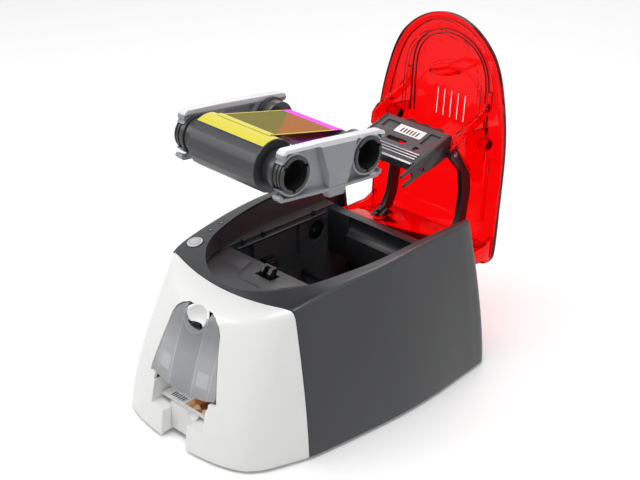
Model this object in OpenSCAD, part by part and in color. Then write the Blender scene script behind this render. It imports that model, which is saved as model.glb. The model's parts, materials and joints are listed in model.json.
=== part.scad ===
/* [Body] */
// Width across the widest part of the casing
body_width = 206; // [190:1:220]
// Length of the casing from the front seam to the back wall, at floor level
casing_length = 222; // [210:1:240]
// Reach of the front bezel ahead of the seam, at floor level
bezel_reach = 64.5; // [58:0.5:70]
// Height of the casing rim at the back of the lid opening
rim_height = 142; // [136:0.5:150]
// Thickness of the moulded casing walls
shell_wall = 2.5; // [2:0.1:3.5]
// Gap along the seam between bezel and casing
seam_gap = 0.6; // [0.3:0.1:1]
// Height of the rubber feet below the casing
foot_height = 3; // [2:0.5:5]
// Radius of each rubber foot
foot_radius = 8; // [6:0.5:10]

/* [Lid] */
// Angle through which the open lid has turned from closed
lid_open_angle = 98.2; // [94:0.1:100]
// Hinge axis behind the front seam
hinge_y = 204.2; // [202:0.1:206]
// Hinge axis above the floor
hinge_z = 97.4; // [96:0.1:99]
// Radius of the hinge pins
hinge_pin_radius = 3; // [2:0.1:4]
// Thickness of the clear lid
lid_wall = 2.2; // [1.8:0.1:3]
// Height of the lid crown above its rim plane
lid_crown = 10; // [6:0.5:14]
// Number of cooling slots in the lid
lid_slot_count = 5; // [3:1:7]

/* [Bay] */
// Width of the cartridge bay
bay_width = 130.8; // [128:0.2:134]
// Front edge of the bay behind the seam
bay_front = 59; // [56:0.5:62]
// Back wall of the bay behind the seam
bay_back = 179.4; // [176:0.2:183]
// Depth of the deck around the bay below the rim
deck_drop = 25; // [23:0.5:28]
// Thickness of the inner mouldings
frame_wall = 2.4; // [2:0.1:3]

/* [Cartridge] */
// Distance between the two spool axes
spool_spacing = 81; // [76:0.5:86]
// Half the length of each spool
spool_reach = 63.5; // [60:0.5:64.5]
// Radius of the full supply roll
supply_radius = 22; // [18:0.5:24]
// Radius of the film wound on the take-up core
takeup_radius = 11; // [10:0.5:16]
// Outer radius of the hollow spool hubs
hub_radius = 15.4; // [13.6:0.1:16]
// Radius of the hole through each spool
spool_bore = 12.3; // [11:0.1:12.8]
// Width of the colour film
film_width = 62; // [56:0.5:66]
// Thickness of the cartridge end plates
plate_wall = 2.4; // [2:0.1:3]
// Nose-down tilt of the lifted cartridge
cartridge_tilt = 4.9; // [0:0.1:8]

/* [Card path] */
// Height of the card track above the floor
track_height = 64; // [61:0.5:66]
// Width of a card
card_width = 54; // [50:0.5:56]
// Length of a card
card_length = 85.6; // [80:0.1:90]
// Radius of the rubber platen roller
platen_radius = 7; // [6:0.1:8]
// Radius of the roller shafts
shaft_radius = 2.5; // [2:0.1:3]
// Radial running clearance of shafts and pins
running_gap = 0.06; // [0.02:0.01:0.1]

/* [Drive] */
// Module of the gear teeth
gear_module = 0.8; // [0.7:0.05:0.9]
// Teeth on the motor pinion
pinion_teeth = 16; // [14:1:18]
// Teeth on the platen gear
platen_teeth = 40; // [36:1:44]
// Width of the gears
gear_width = 6; // [5:0.5:8]

/* [Controls] */
// Radius of the power button
button_radius = 7.3; // [6:0.1:8.5]
// Travel of the power button
button_travel = 1; // [0.6:0.1:1.4]

/* [Hidden] */
$fn = 48;

// Small step that carries a cut clean through a face
cut = 1;
// Half of the widest width
half_width = body_width / 2;
// Exponent of the curve by which the walls lean in towards the top
lean_power = 1.5;
// Floor of the casing
casing_floor = foot_height;
// Back of the casing at floor level
casing_back = casing_length;
// Height of the deck around the bay
deck_height = rim_height - deck_drop;

// Outline at the floor, front centre to seam, as shares of half width and bezel reach
front_base = [
    [0, -1], [0.146, -0.991], [0.335, -0.961], [0.511, -0.907], [0.64, -0.83],
    [0.714, -0.753], [0.772, -0.636], [0.811, -0.515], [0.866, -0.253], [0.916, 0.016]
];
// Outline at the top, front centre to seam, in the same shares
front_top = [
    [0, -0.512], [0.117, -0.502], [0.243, -0.465], [0.369, -0.395], [0.476, -0.295],
    [0.544, -0.217], [0.602, -0.132], [0.646, -0.062], [0.684, 0], [0.721, 0.074]
];
// Outline at the floor, seam to back centre, as shares of half width and casing length
rear_base = [
    [0.965, 0.203], [1, 0.485], [0.985, 0.676], [0.949, 0.83], [0.926, 0.93],
    [0.9, 0.99], [0.83, 1.008], [0.45, 1.018], [0, 1.022]
];
// Outline at the top, seam to back centre, in the same shares
rear_top = [
    [0.773, 0.176], [0.832, 0.45], [0.814, 0.676], [0.8, 0.83], [0.79, 0.9],
    [0.765, 0.938], [0.7, 0.948], [0.4, 0.953], [0, 0.955]
];
// Drop of the top surface below the rim height, by distance behind the seam
top_line = [
    [-60, -38], [-33, -27], [-6.7, -16.3], [4.8, -11.8], [20, -8.2], [39, -5.4],
    [70, -2.7], [100, -1.1], [135, 0.4], [170, 0.5], [240, -0.4]
];
// Heights at which the walls are cut into rings
ring_heights = [-4, 3, 14, 28, 44, 62, 80, 98, 112, 124, 134, 142, 152];

function scaled(list, sx, sy) = [for (p = list) [p[0] * sx, p[1] * sy]];
function base_half() = concat(
    scaled(front_base, half_width, bezel_reach), scaled(rear_base, half_width, casing_length));
function top_half() = concat(
    scaled(front_top, half_width, bezel_reach), scaled(rear_top, half_width, casing_length));

// Point on a smooth curve through four control points
function spline_point(a, b, c, d, t) =
    0.5 * ((2 * b) + (c - a) * t + (2 * a - 5 * b + 4 * c - d) * t * t
    + (3 * b - a - 3 * c + d) * t * t * t);
function mirrored_end(p, q) = [-q[0], q[1]];
// Smooth curve through a half outline whose two ends lie on the symmetry plane
function smooth_half(list, steps) = let (n = len(list)) concat(
    [for (i = [0:n - 2]) for (k = [0:steps - 1])
        spline_point(
            i == 0 ? mirrored_end(list[0], list[1]) : list[i - 1], list[i], list[i + 1],
            i == n - 2 ? mirrored_end(list[n - 1], list[n - 2]) : list[i + 2], k / steps)],
    [list[n - 1]]);
// Whole outline from a half outline, counter-clockwise seen from above
function whole(list) = let (n = len(list)) concat(
    list, [for (i = [n - 2:-1:1]) [-list[i][0], list[i][1]]]);
// Each point of a closed outline moved inwards
function inset_ring(ring, d) = let (n = len(ring)) [
    for (i = [0:n - 1])
        let (e = ring[(i + 1) % n] - ring[(i + n - 1) % n])
        ring[i] + d * [-e[1], e[0]] / norm(e)];
function top_height(y) = rim_height + lookup(y, top_line);
outline_steps = 2;
base_outline = whole(smooth_half(base_half(), outline_steps));
top_outline = whole(smooth_half(top_half(), outline_steps));
function lean(z, y) = pow(max(0, (z - casing_floor) / (top_height(y) - casing_floor)), lean_power);
function body_ring(z, d) = inset_ring([
    for (i = [0:len(base_outline) - 1])
        let (g = lean(z, top_outline[i][1]))
        base_outline[i] * (1 - g) + top_outline[i] * g], d);

// Solid skin between rings of equal count, each ring a list of points in space
module loft(rings) {
    n = len(rings[0]);
    m = len(rings);
    polyhedron(
        points = [for (r = rings) for (p = r) p],
        faces = concat(
            [[for (i = [0:n - 1]) i]],
            [for (k = [0:m - 2]) for (i = [0:n - 1])
                [k * n + i, (k + 1) * n + i, (k + 1) * n + (i + 1) % n]],
            [for (k = [0:m - 2]) for (i = [0:n - 1])
                [k * n + i, (k + 1) * n + (i + 1) % n, k * n + (i + 1) % n]],
            [[for (i = [n - 1:-1:0]) (m - 1) * n + i]]),
        convexity = 6);
}
function at_height(ring, z) = [for (p = ring) [p[0], p[1], z]];
// Body form shrunk by a wall: leaning walls under the curved top line
module body_form(d, floor_z) {
    intersection() {
        loft([for (z = ring_heights) at_height(body_ring(z, d), z)]);
        rotate([90, 0, 90])
            translate([0, 0, -body_width])
                linear_extrude(2 * body_width)
                    polygon(concat(
                        [[-2 * bezel_reach, floor_z]],
                        [[-2 * bezel_reach, top_height(-2 * bezel_reach) - d]],
                        [for (p = top_line) [p[0], rim_height + p[1] - d]],
                        [[2 * casing_back, top_height(casing_back) - d]],
                        [[2 * casing_back, floor_z]]));
    }
}
// Seam between bezel and casing, seen from above
seam_front = -6.7;
seam_corner = [74.3, 4.8];
function seam_y(x) = abs(x) < seam_corner[0]
    ? seam_front + (seam_corner[1] - seam_front) * pow(x / seam_corner[0], 2)
    : seam_corner[1] - (abs(x) - seam_corner[0]) * 0.19;
module behind_seam(gap) {
    translate([0, 0, -cut])
        linear_extrude(2 * rim_height)
            polygon(concat(
                [for (x = [-120:8:120]) [x, seam_y(x) + gap]],
                [[120, 2 * casing_back], [-120, 2 * casing_back]]));
}

// Half widths of the lid opening by distance behind the seam
opening_half = [
    [0, -2.9], [13, -1.4], [26, 2.8], [38, 9.5], [48, 18], [55, 26.5], [62, 40],
    [67, 56], [71.5, 75], [74.5, 95], [76, 115], [76, 160], [76, 211]
];
// Smooth curve through a half outline that starts on the symmetry plane
function smooth_open(list, steps) = let (n = len(list)) concat(
    [for (i = [0:n - 2]) for (k = [0:steps - 1])
        spline_point(
            i == 0 ? mirrored_end(list[0], list[1]) : list[i - 1], list[i], list[i + 1],
            i == n - 2 ? 2 * list[n - 1] - list[n - 2] : list[i + 2], k / steps)],
    [list[n - 1]]);
function both_sides(list) = let (n = len(list)) concat(
    list, [for (i = [n - 1:-1:1]) [-list[i][0], list[i][1]]]);
opening_outline = both_sides(smooth_open(opening_half, 2));
opening_reach = opening_half[len(opening_half) - 1][0];

// ---- Shared places ----
// Gap between pieces that seat on each other
seat_gap = 0.3;
// A plane well ahead of everything inside the casing
bezel_back = -30;
// Inner faces of the bay
bay_half = bay_width / 2;
// Outer faces of the side frames
frame_out = bay_half + frame_wall;
// Platen axis: on the centre line of the print head's forks, under the track
head_top = [96.8, 106.3];
head_lean = 25.15;
fork_centre = 6.3;
platen_z = track_height - platen_radius;
fork_depth = (head_top[1] + fork_centre * sin(head_lean) - platen_z) / cos(head_lean);
platen_y = head_top[0] + fork_centre * cos(head_lean) + fork_depth * sin(head_lean);
// Gear pitch radii
platen_pitch = gear_module * platen_teeth / 2;
pinion_pitch = gear_module * pinion_teeth / 2;
idler_teeth = 30;
feed_teeth = 20;
idler_pitch = gear_module * idler_teeth / 2;
feed_pitch = gear_module * feed_teeth / 2;
// Extra distance between gear axes, so the teeth run free
gear_backlash = 0.15;
idler_drop = 7;
idler_z = platen_z - idler_drop;
platen_to_idler = platen_pitch + idler_pitch + gear_backlash;
idler_y = platen_y - sqrt(pow(platen_to_idler, 2) - pow(idler_drop, 2));
idler_to_feed = idler_pitch + feed_pitch + gear_backlash;
feed_y = idler_y - sqrt(pow(idler_to_feed, 2) - pow(idler_drop, 2));
motor_angle = 62;
motor_distance = platen_pitch + pinion_pitch + gear_backlash;
motor_y = platen_y + motor_distance * cos(motor_angle);
motor_z = platen_z - motor_distance * sin(motor_angle);
motor_boss = 5;
// Inner face of the gears, left of the left frame
gear_plane = -frame_out - 0.8;
// Take-up drive, in the left wall at the back of the bay
takeup_y = 165;
takeup_z = 96;
takeup_window = 10.5;
takeup_gear_teeth = 20;
// Cartridge lifted clear of the bay
lifted_y = 17.5;
lifted_z = 238.2;
// Power button on the left of the front rim
button_place = [37.3 - half_width, 21];
button_slope = 13;

module place_x(y, z) { translate([0, y, z]) rotate([0, 90, 0]) children(); }
// Rod along X between two distances from the symmetry plane
module rod(x0, x1, r, y, z) { place_x(y, z) translate([0, 0, x0]) cylinder(r = r, h = x1 - x0); }
// Plate along X between two distances, drawn from [y, z] points
module slab(x0, x1, points) {
    translate([x0, 0, 0])
        rotate([90, 0, 90])
            linear_extrude(x1 - x0)
                polygon(points);
}
module block(x0, x1, y0, y1, z0, z1) {
    translate([x0, y0, z0]) cube([x1 - x0, y1 - y0, z1 - z0]);
}

// Distance behind the seam of a point of the closed lid once the lid is open
function opened_y(p) = hinge_y + (p[1] - hinge_y) * cos(lid_open_angle)
    + (p[2] - hinge_z) * sin(lid_open_angle);
function lid_back() = max([for (q = lid_profile) for (p = lid_ring(q[0], q[1])) opened_y(p)]);
// Foremost edge of the bezel, beside the thumb notch
function bezel_front() = lookup(notch_half, [for (p = base_outline) if (p[0] >= 0 && p[1] < 0) p]);
// Brings the middle of the open part's length to the origin
module placed() translate([0, -(lid_back() + bezel_front()) / 2, 0]) children();

// ---- Casing ----
rear_wall_top = 86;
rear_opening = [56, 18, 66];
module main_casing() color("#3d3e41") {
    difference() {
        intersection() {
            body_form(0, casing_floor);
            behind_seam(seam_gap / 2);
        }
        body_form(shell_wall, -cut);
        translate([0, 0, deck_height - 4])
            linear_extrude(rim_height)
                polygon(opening_outline);
        block(-opening_reach, opening_reach, hinge_y + 1.8, casing_back + 20,
            rear_wall_top, rim_height + 10);
        block(-rear_opening[0], rear_opening[0], 200, casing_back + 20,
            rear_opening[1], rear_opening[2]);
        on_button() translate([0, 0, -10]) cylinder(r = button_radius + 0.3, h = 20);
        for (p = ring_places) on_ring(p) cylinder(r = ring_radius, h = 10);
    }
}
// Front window of the bezel: top of the opening, then half width by height
window_top = rim_height - 25.5;
window_outline = [
    [-41.5, 50], [-34, 50], [-34, 44], [34, 44], [34, 50], [41.5, 50], [40.5, 56],
    [31, window_top - 19.5], [29.5, window_top - 12.5], [26, window_top - 6.5],
    [20, window_top - 2], [14, window_top], [-14, window_top], [-20, window_top - 2],
    [-26, window_top - 6.5], [-29.5, window_top - 12.5], [-31, window_top - 19.5], [-40.5, 56]
];
exit_half = 32.5;
exit_low = 25;
notch_half = 15.5;
pocket_radius = 13.5;
pocket_wall = 2;
pocket_place = [0, -40, rim_height - 29];
// Front and lower edge of the pocket's wall, behind the cover's top edge
pocket_front = -34;
pocket_low = pocket_place[2] - 10;
jamb_depth = 30;
module front_cut(points) {
    translate([0, -20, 0])
        rotate([90, 0, 0])
            linear_extrude(2 * bezel_reach)
                polygon(points);
}
module front_bezel() color("#f2f2f0") {
    difference() {
        union() {
            difference() {
                intersection() {
                    body_form(0, casing_floor);
                    difference() {
                        block(-120, 120, -100, 40, 0, rim_height);
                        behind_seam(-seam_gap / 2);
                    }
                }
                body_form(shell_wall, -cut);
                front_cut(window_outline);
                front_cut([[-exit_half, exit_low], [exit_half, exit_low],
                    [exit_half, 46], [-exit_half, 46]]);
                front_cut([[-notch_half, 0], [notch_half, 0],
                    [notch_half, exit_low + 1], [-notch_half, exit_low + 1]]);
            }
            intersection() {
                body_form(0.4, casing_floor);
                union() for (side = [-1, 1]) {
                    block(min(side * exit_half, side * (exit_half + 2)),
                        max(side * exit_half, side * (exit_half + 2)),
                        -70, -70 + jamb_depth + 12, casing_floor + 4, 44.4);
                    block(min(side * notch_half, side * (notch_half + 2)),
                        max(side * notch_half, side * (notch_half + 2)),
                        -70, -52, casing_floor + 4, exit_low);
                    block(min(side * notch_half, side * (exit_half + 2)),
                        max(side * notch_half, side * (exit_half + 2)),
                        -70, -70 + jamb_depth, exit_low - 2, exit_low);
                }
            }
            intersection() {
                body_form(shell_wall / 2, casing_floor);
                for (side = [-1, 1]) cover_lug(min(side * lug_in, side * lug_out),
                    max(side * lug_in, side * lug_out));
            }
            intersection() {
                body_form(1, casing_floor);
                difference() {
                    translate(pocket_place) sphere(r = pocket_radius + pocket_wall, $fn = 32);
                    block(-half_width, half_width, -2 * bezel_reach, 0, 0, pocket_low);
                    block(-half_width, half_width, -2 * bezel_reach, pocket_front, 0, rim_height);
                }
            }
        }
        translate(pocket_place) sphere(r = pocket_radius, $fn = 32);
        rod(-lug_out - cut, lug_out + cut, cover_pin_radius, cover_pivot[0], cover_pivot[1]);
    }
}
cover_wall = 2;
cover_pivot = [-41, 60];
cover_pin_radius = 1.5;
cover_ear = 36;
cover_ear_half = 1.2;
// Lugs of the bezel that hold the cover's pins: inner and outer face
lug_in = 40.4;
lug_out = 43;
cover_top = window_top - 0.9;
cover_outline = [
    [-38.4, 53.2], [-30, 51.2], [-15, 49.6], [0, 49], [15, 49.6], [30, 51.2], [38.4, 53.2],
    [39.4, 57], [30.2, cover_top - 18.6], [28.7, cover_top - 12], [25.3, cover_top - 6.3],
    [19.7, cover_top - 1.9], [14.2, cover_top], [14, cover_top - 7.6], [11, cover_top - 12.1],
    [6, cover_top - 15], [0, cover_top - 15.8], [-6, cover_top - 15], [-11, cover_top - 12.1],
    [-14, cover_top - 7.6], [-14.2, cover_top], [-19.7, cover_top - 1.9],
    [-25.3, cover_top - 6.3], [-28.7, cover_top - 12], [-30.2, cover_top - 18.6], [-39.4, 57]
];
module feeder_cover() color([0.7, 0.72, 0.75, 0.6]) {
    difference() {
        union() {
            intersection() {
                difference() {
                    body_form(0.2, casing_floor);
                    body_form(0.2 + cover_wall, -cut);
                }
                front_cut(cover_outline);
            }
            intersection() {
                body_form(0.2 + cover_wall / 2, -cut);
                for (side = [-1, 1]) cover_lug(side * cover_ear - cover_ear_half,
                    side * cover_ear + cover_ear_half);
            }
        }
        rod(-lug_in, lug_in, cover_pin_radius + running_gap, cover_pivot[0], cover_pivot[1]);
    }
}
// Ear around the cover's axis, run forward to the wall
module cover_lug(x0, x1) {
    slab(x0, x1, [[cover_pivot[0] - 12, cover_pivot[1] - 3], [cover_pivot[0], cover_pivot[1] - 3],
        [cover_pivot[0] + 2.6, cover_pivot[1] - 1.6], [cover_pivot[0] + 2.6, cover_pivot[1] + 1.6],
        [cover_pivot[0], cover_pivot[1] + 3], [cover_pivot[0] - 12, cover_pivot[1] + 3]]);
}
module feeder_pins() color("#55575a") {
    inner = cover_ear - cover_ear_half - 0.6;
    for (side = [-1, 1])
        rod(min(side * inner, side * lug_out), max(side * inner, side * lug_out),
            cover_pin_radius, cover_pivot[0], cover_pivot[1]);
}
// Screws stand nearer the middle than the feet, by this share of their distance
screw_share = 0.6;
module base_plate() color("#2b2c2e") {
    difference() {
        translate([0, 0, casing_floor + 0.2])
            linear_extrude(2.4)
                polygon(body_ring(casing_floor, shell_wall + 0.4));
        for (p = foot_places()) translate([p[0] * screw_share, p[1] + 6, 0]) cylinder(r = 1.6, h = 20);
        block(-notch_half - 2.5, notch_half + 2.5, -80, -50, 0, 10);
    }
}
function foot_places() = [for (x = [-1, 1]) for (y = [-22, casing_length - 24]) [x * 72, y]];
module rubber_feet() color("#1c1c1d") {
    for (p = foot_places()) translate([p[0], p[1], 0]) {
        cylinder(r1 = foot_radius - 1, r2 = foot_radius, h = 1);
        translate([0, 0, 1]) cylinder(r = foot_radius, h = casing_floor + 0.2 - 1);
    }
}
module base_screws() color("#9a9c9e") {
    for (p = foot_places()) translate([p[0] * screw_share, p[1] + 6, casing_floor + 0.2]) {
        translate([0, 0, -1.4]) difference() {
            cylinder(r = 3, h = 1.4);
            translate([-2, -0.4, -cut]) cube([4, 0.8, 1.8]);
            translate([-0.4, -2, -cut]) cube([0.8, 4, 1.8]);
        }
        cylinder(r = 1.6, h = 8);
    }
}
panel_y = casing_back - 8.6;
panel_wall = 2.4;
inlet_x = -38;
usb_x = 30;
port_z = 34;
module rear_panel() color("#2f3032") {
    difference() {
        block(-62, 62, panel_y, panel_y + panel_wall, casing_floor + 3, rear_wall_top - 3);
        rod_y(inlet_x, port_z, 5.3, panel_y - cut, panel_y + panel_wall + cut);
        block(usb_x - 6.3, usb_x + 6.3, panel_y - cut, panel_y + 5, port_z - 5.8, port_z + 5.8);
        for (i = [-4:4]) block(i * 7 - 1.2, i * 7 + 1.2, panel_y - cut, panel_y + 5, 52, 62);
    }
}
module rod_y(x, z, r, y0, y1) {
    translate([x, y0, z]) rotate([-90, 0, 0]) cylinder(r = r, h = y1 - y0);
}
module dc_inlet() color("#1a1a1b") {
    difference() {
        union() {
            block(inlet_x - 7, inlet_x + 7, panel_y - 14, panel_y - 0.2, port_z - 7, port_z + 5);
            rod_y(inlet_x, port_z, 5, panel_y - 0.3, panel_y + panel_wall);
        }
        rod_y(inlet_x, port_z, 2.9, panel_y - 9, panel_y + panel_wall + cut);
    }
    rod_y(inlet_x, port_z, 1.05, panel_y - 9.01, panel_y - 0.5);
}
module usb_port() color("#b8babd") {
    difference() {
        block(usb_x - 6, usb_x + 6, panel_y - 14, panel_y + 1.6, port_z - 5.5, port_z + 5.5);
        block(usb_x - 5.3, usb_x + 5.3, panel_y - 12, panel_y + 2, port_z - 4.8, port_z + 4.8);
    }
    block(usb_x - 3.4, usb_x + 3.4, panel_y - 12.01, panel_y - 1, port_z - 1.8, port_z + 1.8);
}
board_z = 14;
board_front = panel_y - 57.4;
module control_board() color("#1f5a38") {
    block(-60, 60, board_front, panel_y - 0.6, board_z, board_z + 1.6);
    for (x = [-54, 54]) for (y = [board_front + 6, panel_y - 8]) translate([x, y, casing_floor + 2.6])
        cylinder(r = 3, h = board_z - casing_floor - 2);
    block(-14, 6, board_front + 12, board_front + 32, board_z + 1.6, board_z + 3.2);
    block(18, 30, board_front + 14, board_front + 22, board_z + 1.6, board_z + 4);
    for (i = [0:2]) translate([-44 + i * 11, board_front + 24, board_z + 1.2])
        cylinder(r = 4, h = 10);
    block(inlet_x - 5, inlet_x + 5, panel_y - 13, panel_y - 4, board_z + 1.6, port_z - 7);
    block(usb_x - 5, usb_x + 5, panel_y - 13, panel_y - 3, board_z + 1.6, port_z - 5.5);
}

// ---- Inside the body ----
deck_wall = 2.4;
collar_wall = 1.8;
// Back end of the deck, ahead of the lid's ears
deck_back = 188;
module opening_prism(d, z0, z1) {
    translate([0, 0, z0])
        linear_extrude(z1 - z0)
            offset(delta = d, $fn = 24)
                polygon(opening_outline);
}
module bay_deck() color("#39393c") {
    difference() {
        intersection() {
            opening_prism(collar_wall, deck_height - deck_wall, rim_height + 20);
            body_form(shell_wall + seat_gap, -cut);
        }
        opening_prism(0, deck_height, rim_height + 21);
        block(-bay_half, bay_half, bezel_back, casing_back + 20, 0, deck_height + cut);
        block(-body_width, body_width, deck_back, casing_back + 20, 0, rim_height + 22);
    }
}
window_sides = 8;
module left_side_frame() color("#2a2b2d") {
    difference() {
        union() {
            side_plate(-frame_out, -bay_half);
            block(-bay_half, -bay_half + 4, 140, 143.5, 84, deck_height - deck_wall - 0.2);
            block(-bay_half, -bay_half + 4, 84, 86.5, 84, deck_height - deck_wall - 0.2);
        }
        place_x(takeup_y, takeup_z)
            translate([0, 0, -frame_out - cut])
                cylinder(r = takeup_window, h = 10, $fn = window_sides);
        shaft_holes(-frame_out - cut, -bay_half + 5);
        rod(-frame_out - cut, -bay_half + cut, motor_boss, motor_y, motor_z);
    }
    hinge_boss(-frame_out - boss_wall, -frame_out);
}
module right_side_frame() color("#2a2b2d") {
    difference() {
        side_plate(bay_half, frame_out);
        shaft_holes(bay_half - 5, frame_out + cut);
    }
    hinge_boss(frame_out, frame_out + boss_wall);
}
frame_front = 20;
frame_bottom = casing_floor + 2.6;
bush_radius = 4.5;
boss_radius = 6.4;
module side_plate(x0, x1) {
    difference() {
        union() {
            slab(x0, x1, [[frame_front, frame_bottom], [207, frame_bottom], [207, 84],
                [208, 92], [196, 104], [190, deck_height - deck_wall - 0.2],
                [frame_front, deck_height - deck_wall - 0.2]]);
            rod(x0, x1, boss_radius, hinge_y, hinge_z);
        }
        rod(x0 - cut, x1 + cut, hinge_pin_radius, hinge_y, hinge_z);
    }
}
module hinge_boss(x0, x1) {
    difference() {
        rod(x0, x1, boss_radius - 1, hinge_y, hinge_z);
        rod(x0 - cut, x1 + cut, hinge_pin_radius, hinge_y, hinge_z);
    }
}
module shaft_holes(x0, x1) {
    rod(x0, x1, bush_radius, platen_y, platen_z);
    rod(x0, x1, bush_radius, feed_y, platen_z);
}
module roller_bushes() color("#c9b37c") {
    for (y = [platen_y, feed_y]) for (side = [-1, 1]) difference() {
        union() {
            rod(min(side * bay_half, side * frame_out), max(side * bay_half, side * frame_out),
                bush_radius, y, platen_z);
            rod(min(side * bay_half, side * (bay_half - 1)),
                max(side * bay_half, side * (bay_half - 1)), bush_radius + 1.2, y, platen_z);
        }
        rod(-80, 80, shaft_radius + running_gap, y, platen_z);
    }
}
module hinge_pins() color("#b5b7ba") {
    for (side = [-1, 1])
        rod(min(side * (bay_half - 1.5), side * (ear_out + 1)),
            max(side * (bay_half - 1.5), side * (ear_out + 1)), hinge_pin_radius, hinge_y, hinge_z);
}
// Slot for the catch: half width, front and back
apron_slot = [9.4, 38, 52];
bracket_in = apron_slot[0] + 0.2;
bracket_out = bracket_in + 2;
catch_pin_radius = 1.5;
module bay_apron() color("#38383b") {
    drop = deck_height - 22;
    difference() {
        union() {
            difference() {
                intersection() {
                    slab(-bay_half + seat_gap, bay_half - seat_gap,
                        [[bay_front, drop], [bay_front, deck_height], [apron_slot[2], deck_height],
                        [apron_slot[1], deck_height + 0.6], [-6, deck_height + 6],
                        [-6, deck_height + 3.6], [apron_slot[1], deck_height - 1.8],
                        [bay_front - 2.4, deck_height - 2.4], [bay_front - 2.4, drop]]);
                    opening_prism(-seat_gap, drop - cut, rim_height);
                }
                block(-apron_slot[0], apron_slot[0], apron_slot[1], apron_slot[2], drop, rim_height);
            }
            for (side = [-1, 1])
                slab(min(side * bracket_in, side * bracket_out),
                    max(side * bracket_in, side * bracket_out),
                    [[40, deck_height - 1.9], [52, deck_height - 2.4], [50, deck_height - 12],
                    [42, deck_height - 12]]);
        }
        rod(-bracket_out - cut, bracket_out + cut, catch_pin_radius, catch_y, catch_pivot_z);
    }
}
trough_half = 38;
trough_axis = [167.5, 108.5];
trough_radius = 14;
wall_top = 115;
wall_foot = 72;
wall_depth = 10;
module cross_wall() color("#2d2d30") {
    in = bay_half - seat_gap;
    front = bay_back + frame_wall;
    back = bay_back + wall_depth;
    difference() {
        block(-in, in, bay_back - 4, back, wall_foot, wall_top);
        for (side = [-1, 1]) {
            block(min(side * trough_half, side * (in + cut)), max(side * trough_half, side * (in + cut)),
                bay_back - 5, bay_back, wall_foot - cut, wall_top + cut);
            block(min(side * (trough_half + 2), side * (in - frame_wall)),
                max(side * (trough_half + 2), side * (in - frame_wall)),
                front, back - frame_wall, wall_foot - cut, wall_top - frame_wall);
        }
        block(-trough_half, trough_half, front, back - frame_wall, wall_foot - cut,
            wall_top - frame_wall - 8);
        rod(-trough_half, trough_half, trough_radius, trough_axis[0], trough_axis[1]);
    }
}
track_half = 30;
hopper_back = 48;
track_front = hopper_back + seat_gap;
// Room for the foot of the print head ahead of the platen
head_room = 4.6;
module card_track() color("#26272a") {
    difference() {
        union() {
            block(-track_half, track_half, track_front, 172, track_height - 3.2, track_height - 0.8);
            for (side = [-1, 1])
                block(min(side * (card_width / 2 + 0.6), side * track_half),
                    max(side * (card_width / 2 + 0.6), side * track_half),
                    track_front, 172, track_height - 0.8, track_height + 1.6);
        }
        for (window = [[platen_y, head_room], [feed_y, 1]])
            block(-track_half - cut, track_half + cut, window[0] - platen_radius - window[1],
                window[0] + platen_radius + 1, track_height - 10, track_height + 10);
        block(-track_half - cut, track_half + cut, cleaning_y - 8, cleaning_y + 8,
            track_height - 0.7, track_height + 10);
    }
    for (side = [-1, 1])
        block(min(side * track_half, side * (bay_half - 0.1)),
            max(side * track_half, side * (bay_half - 0.1)), 145, 150,
            track_height - 6, track_height - 0.8);
    for (side = [-1, 1])
        block(min(side * track_half, side * (bay_half - 0.1)),
            max(side * track_half, side * (bay_half - 0.1)), 100, 104,
            track_height - 6, track_height - 0.8);
}
hopper_half = card_width / 2 + 3;
module card_hopper() color("#3a3b3d") {
    difference() {
        block(-hopper_half, hopper_half, -36, hopper_back, track_height - 3.2, 104);
        block(-hopper_half + 2, hopper_half - 2, -40, hopper_back - 2, track_height - 0.8, 110);
        block(-card_width / 2 - 0.6, card_width / 2 + 0.6, hopper_back - 5, hopper_back + 5,
            track_height - 0.8, track_height + 1.4);
        block(-40, 40, 40, hopper_back + 5, 95, 110);
        slab(-40, 40, [[-37, 88], [-28, 108], [-37, 108]]);
    }
    for (side = [-1, 1]) {
        block(side * 10 - 0.8, side * 10 + 0.8, hopper_back - 4, hopper_back - 1.9,
            track_height + 3, 94);
        block(min(side * (hopper_half - 1), side * (bay_half - seat_gap)),
            max(side * (hopper_half - 1), side * (bay_half - seat_gap)),
            frame_front + 4, frame_front + 20, track_height - 3.2, track_height - 0.8);
    }
}
tray_top = 31;
tray_front = -52.5;
module output_tray() color("#ececea") {
    difference() {
        union() {
            block(-exit_half + 0.6, exit_half - 0.6, tray_front + 4, 36, tray_top - 2.4, tray_top);
            block(-notch_half + 0.7, notch_half - 0.7, tray_front, tray_front + 30,
                casing_floor + 3, tray_top);
            block(-exit_half + 0.6, exit_half - 0.6, tray_front + 13, tray_front + 30,
                casing_floor + 3, tray_top - 2);
            for (side = [-1, 1]) block(side * 30.5 - 1.3, side * 30.5 + 1.3, -36, 36,
                tray_top - 0.1, tray_top + 4);
        }
        translate([14, tray_front - 3, tray_top + 2]) sphere(r = 9, $fn = 24);
        block(-exit_half + 5, exit_half - 5, tray_front + 15, tray_front + 28, 0, tray_top - 5);
    }
}
card_wall = 0.76;
card_front = -49.5;
module printed_card() color("#f4f4f2") {
    translate([0, card_front + card_length / 2, tray_top])
        linear_extrude(card_wall)
            offset(r = 3.2, $fn = 24)
                square([card_width - 6.4, card_length - 6.4], center = true);
}
module film_sensor() color("#17181a") {
    block(-bay_half + 0.2, -bay_half + 9, 96, 108, 82, 92);
    block(-bay_half + 9, -bay_half + 10.2, 99, 105, 84, 90);
}

// ---- Drive ----
cleaning_y = 62;
module gear_outline(teeth, m) {
    outer = m * (teeth + 2) / 2 - 0.08;
    root = m * (teeth - 2.5) / 2;
    pitch = m * teeth / 2;
    step = 360 / teeth;
    polygon([for (i = [0:teeth - 1]) for (k = [
        [root, -0.30], [root, -0.28], [pitch, -0.225], [outer, -0.11], [outer, 0.11],
        [pitch, 0.225], [root, 0.28]])
        [k[0] * cos((i + k[1]) * step), k[0] * sin((i + k[1]) * step)]]);
}
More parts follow.
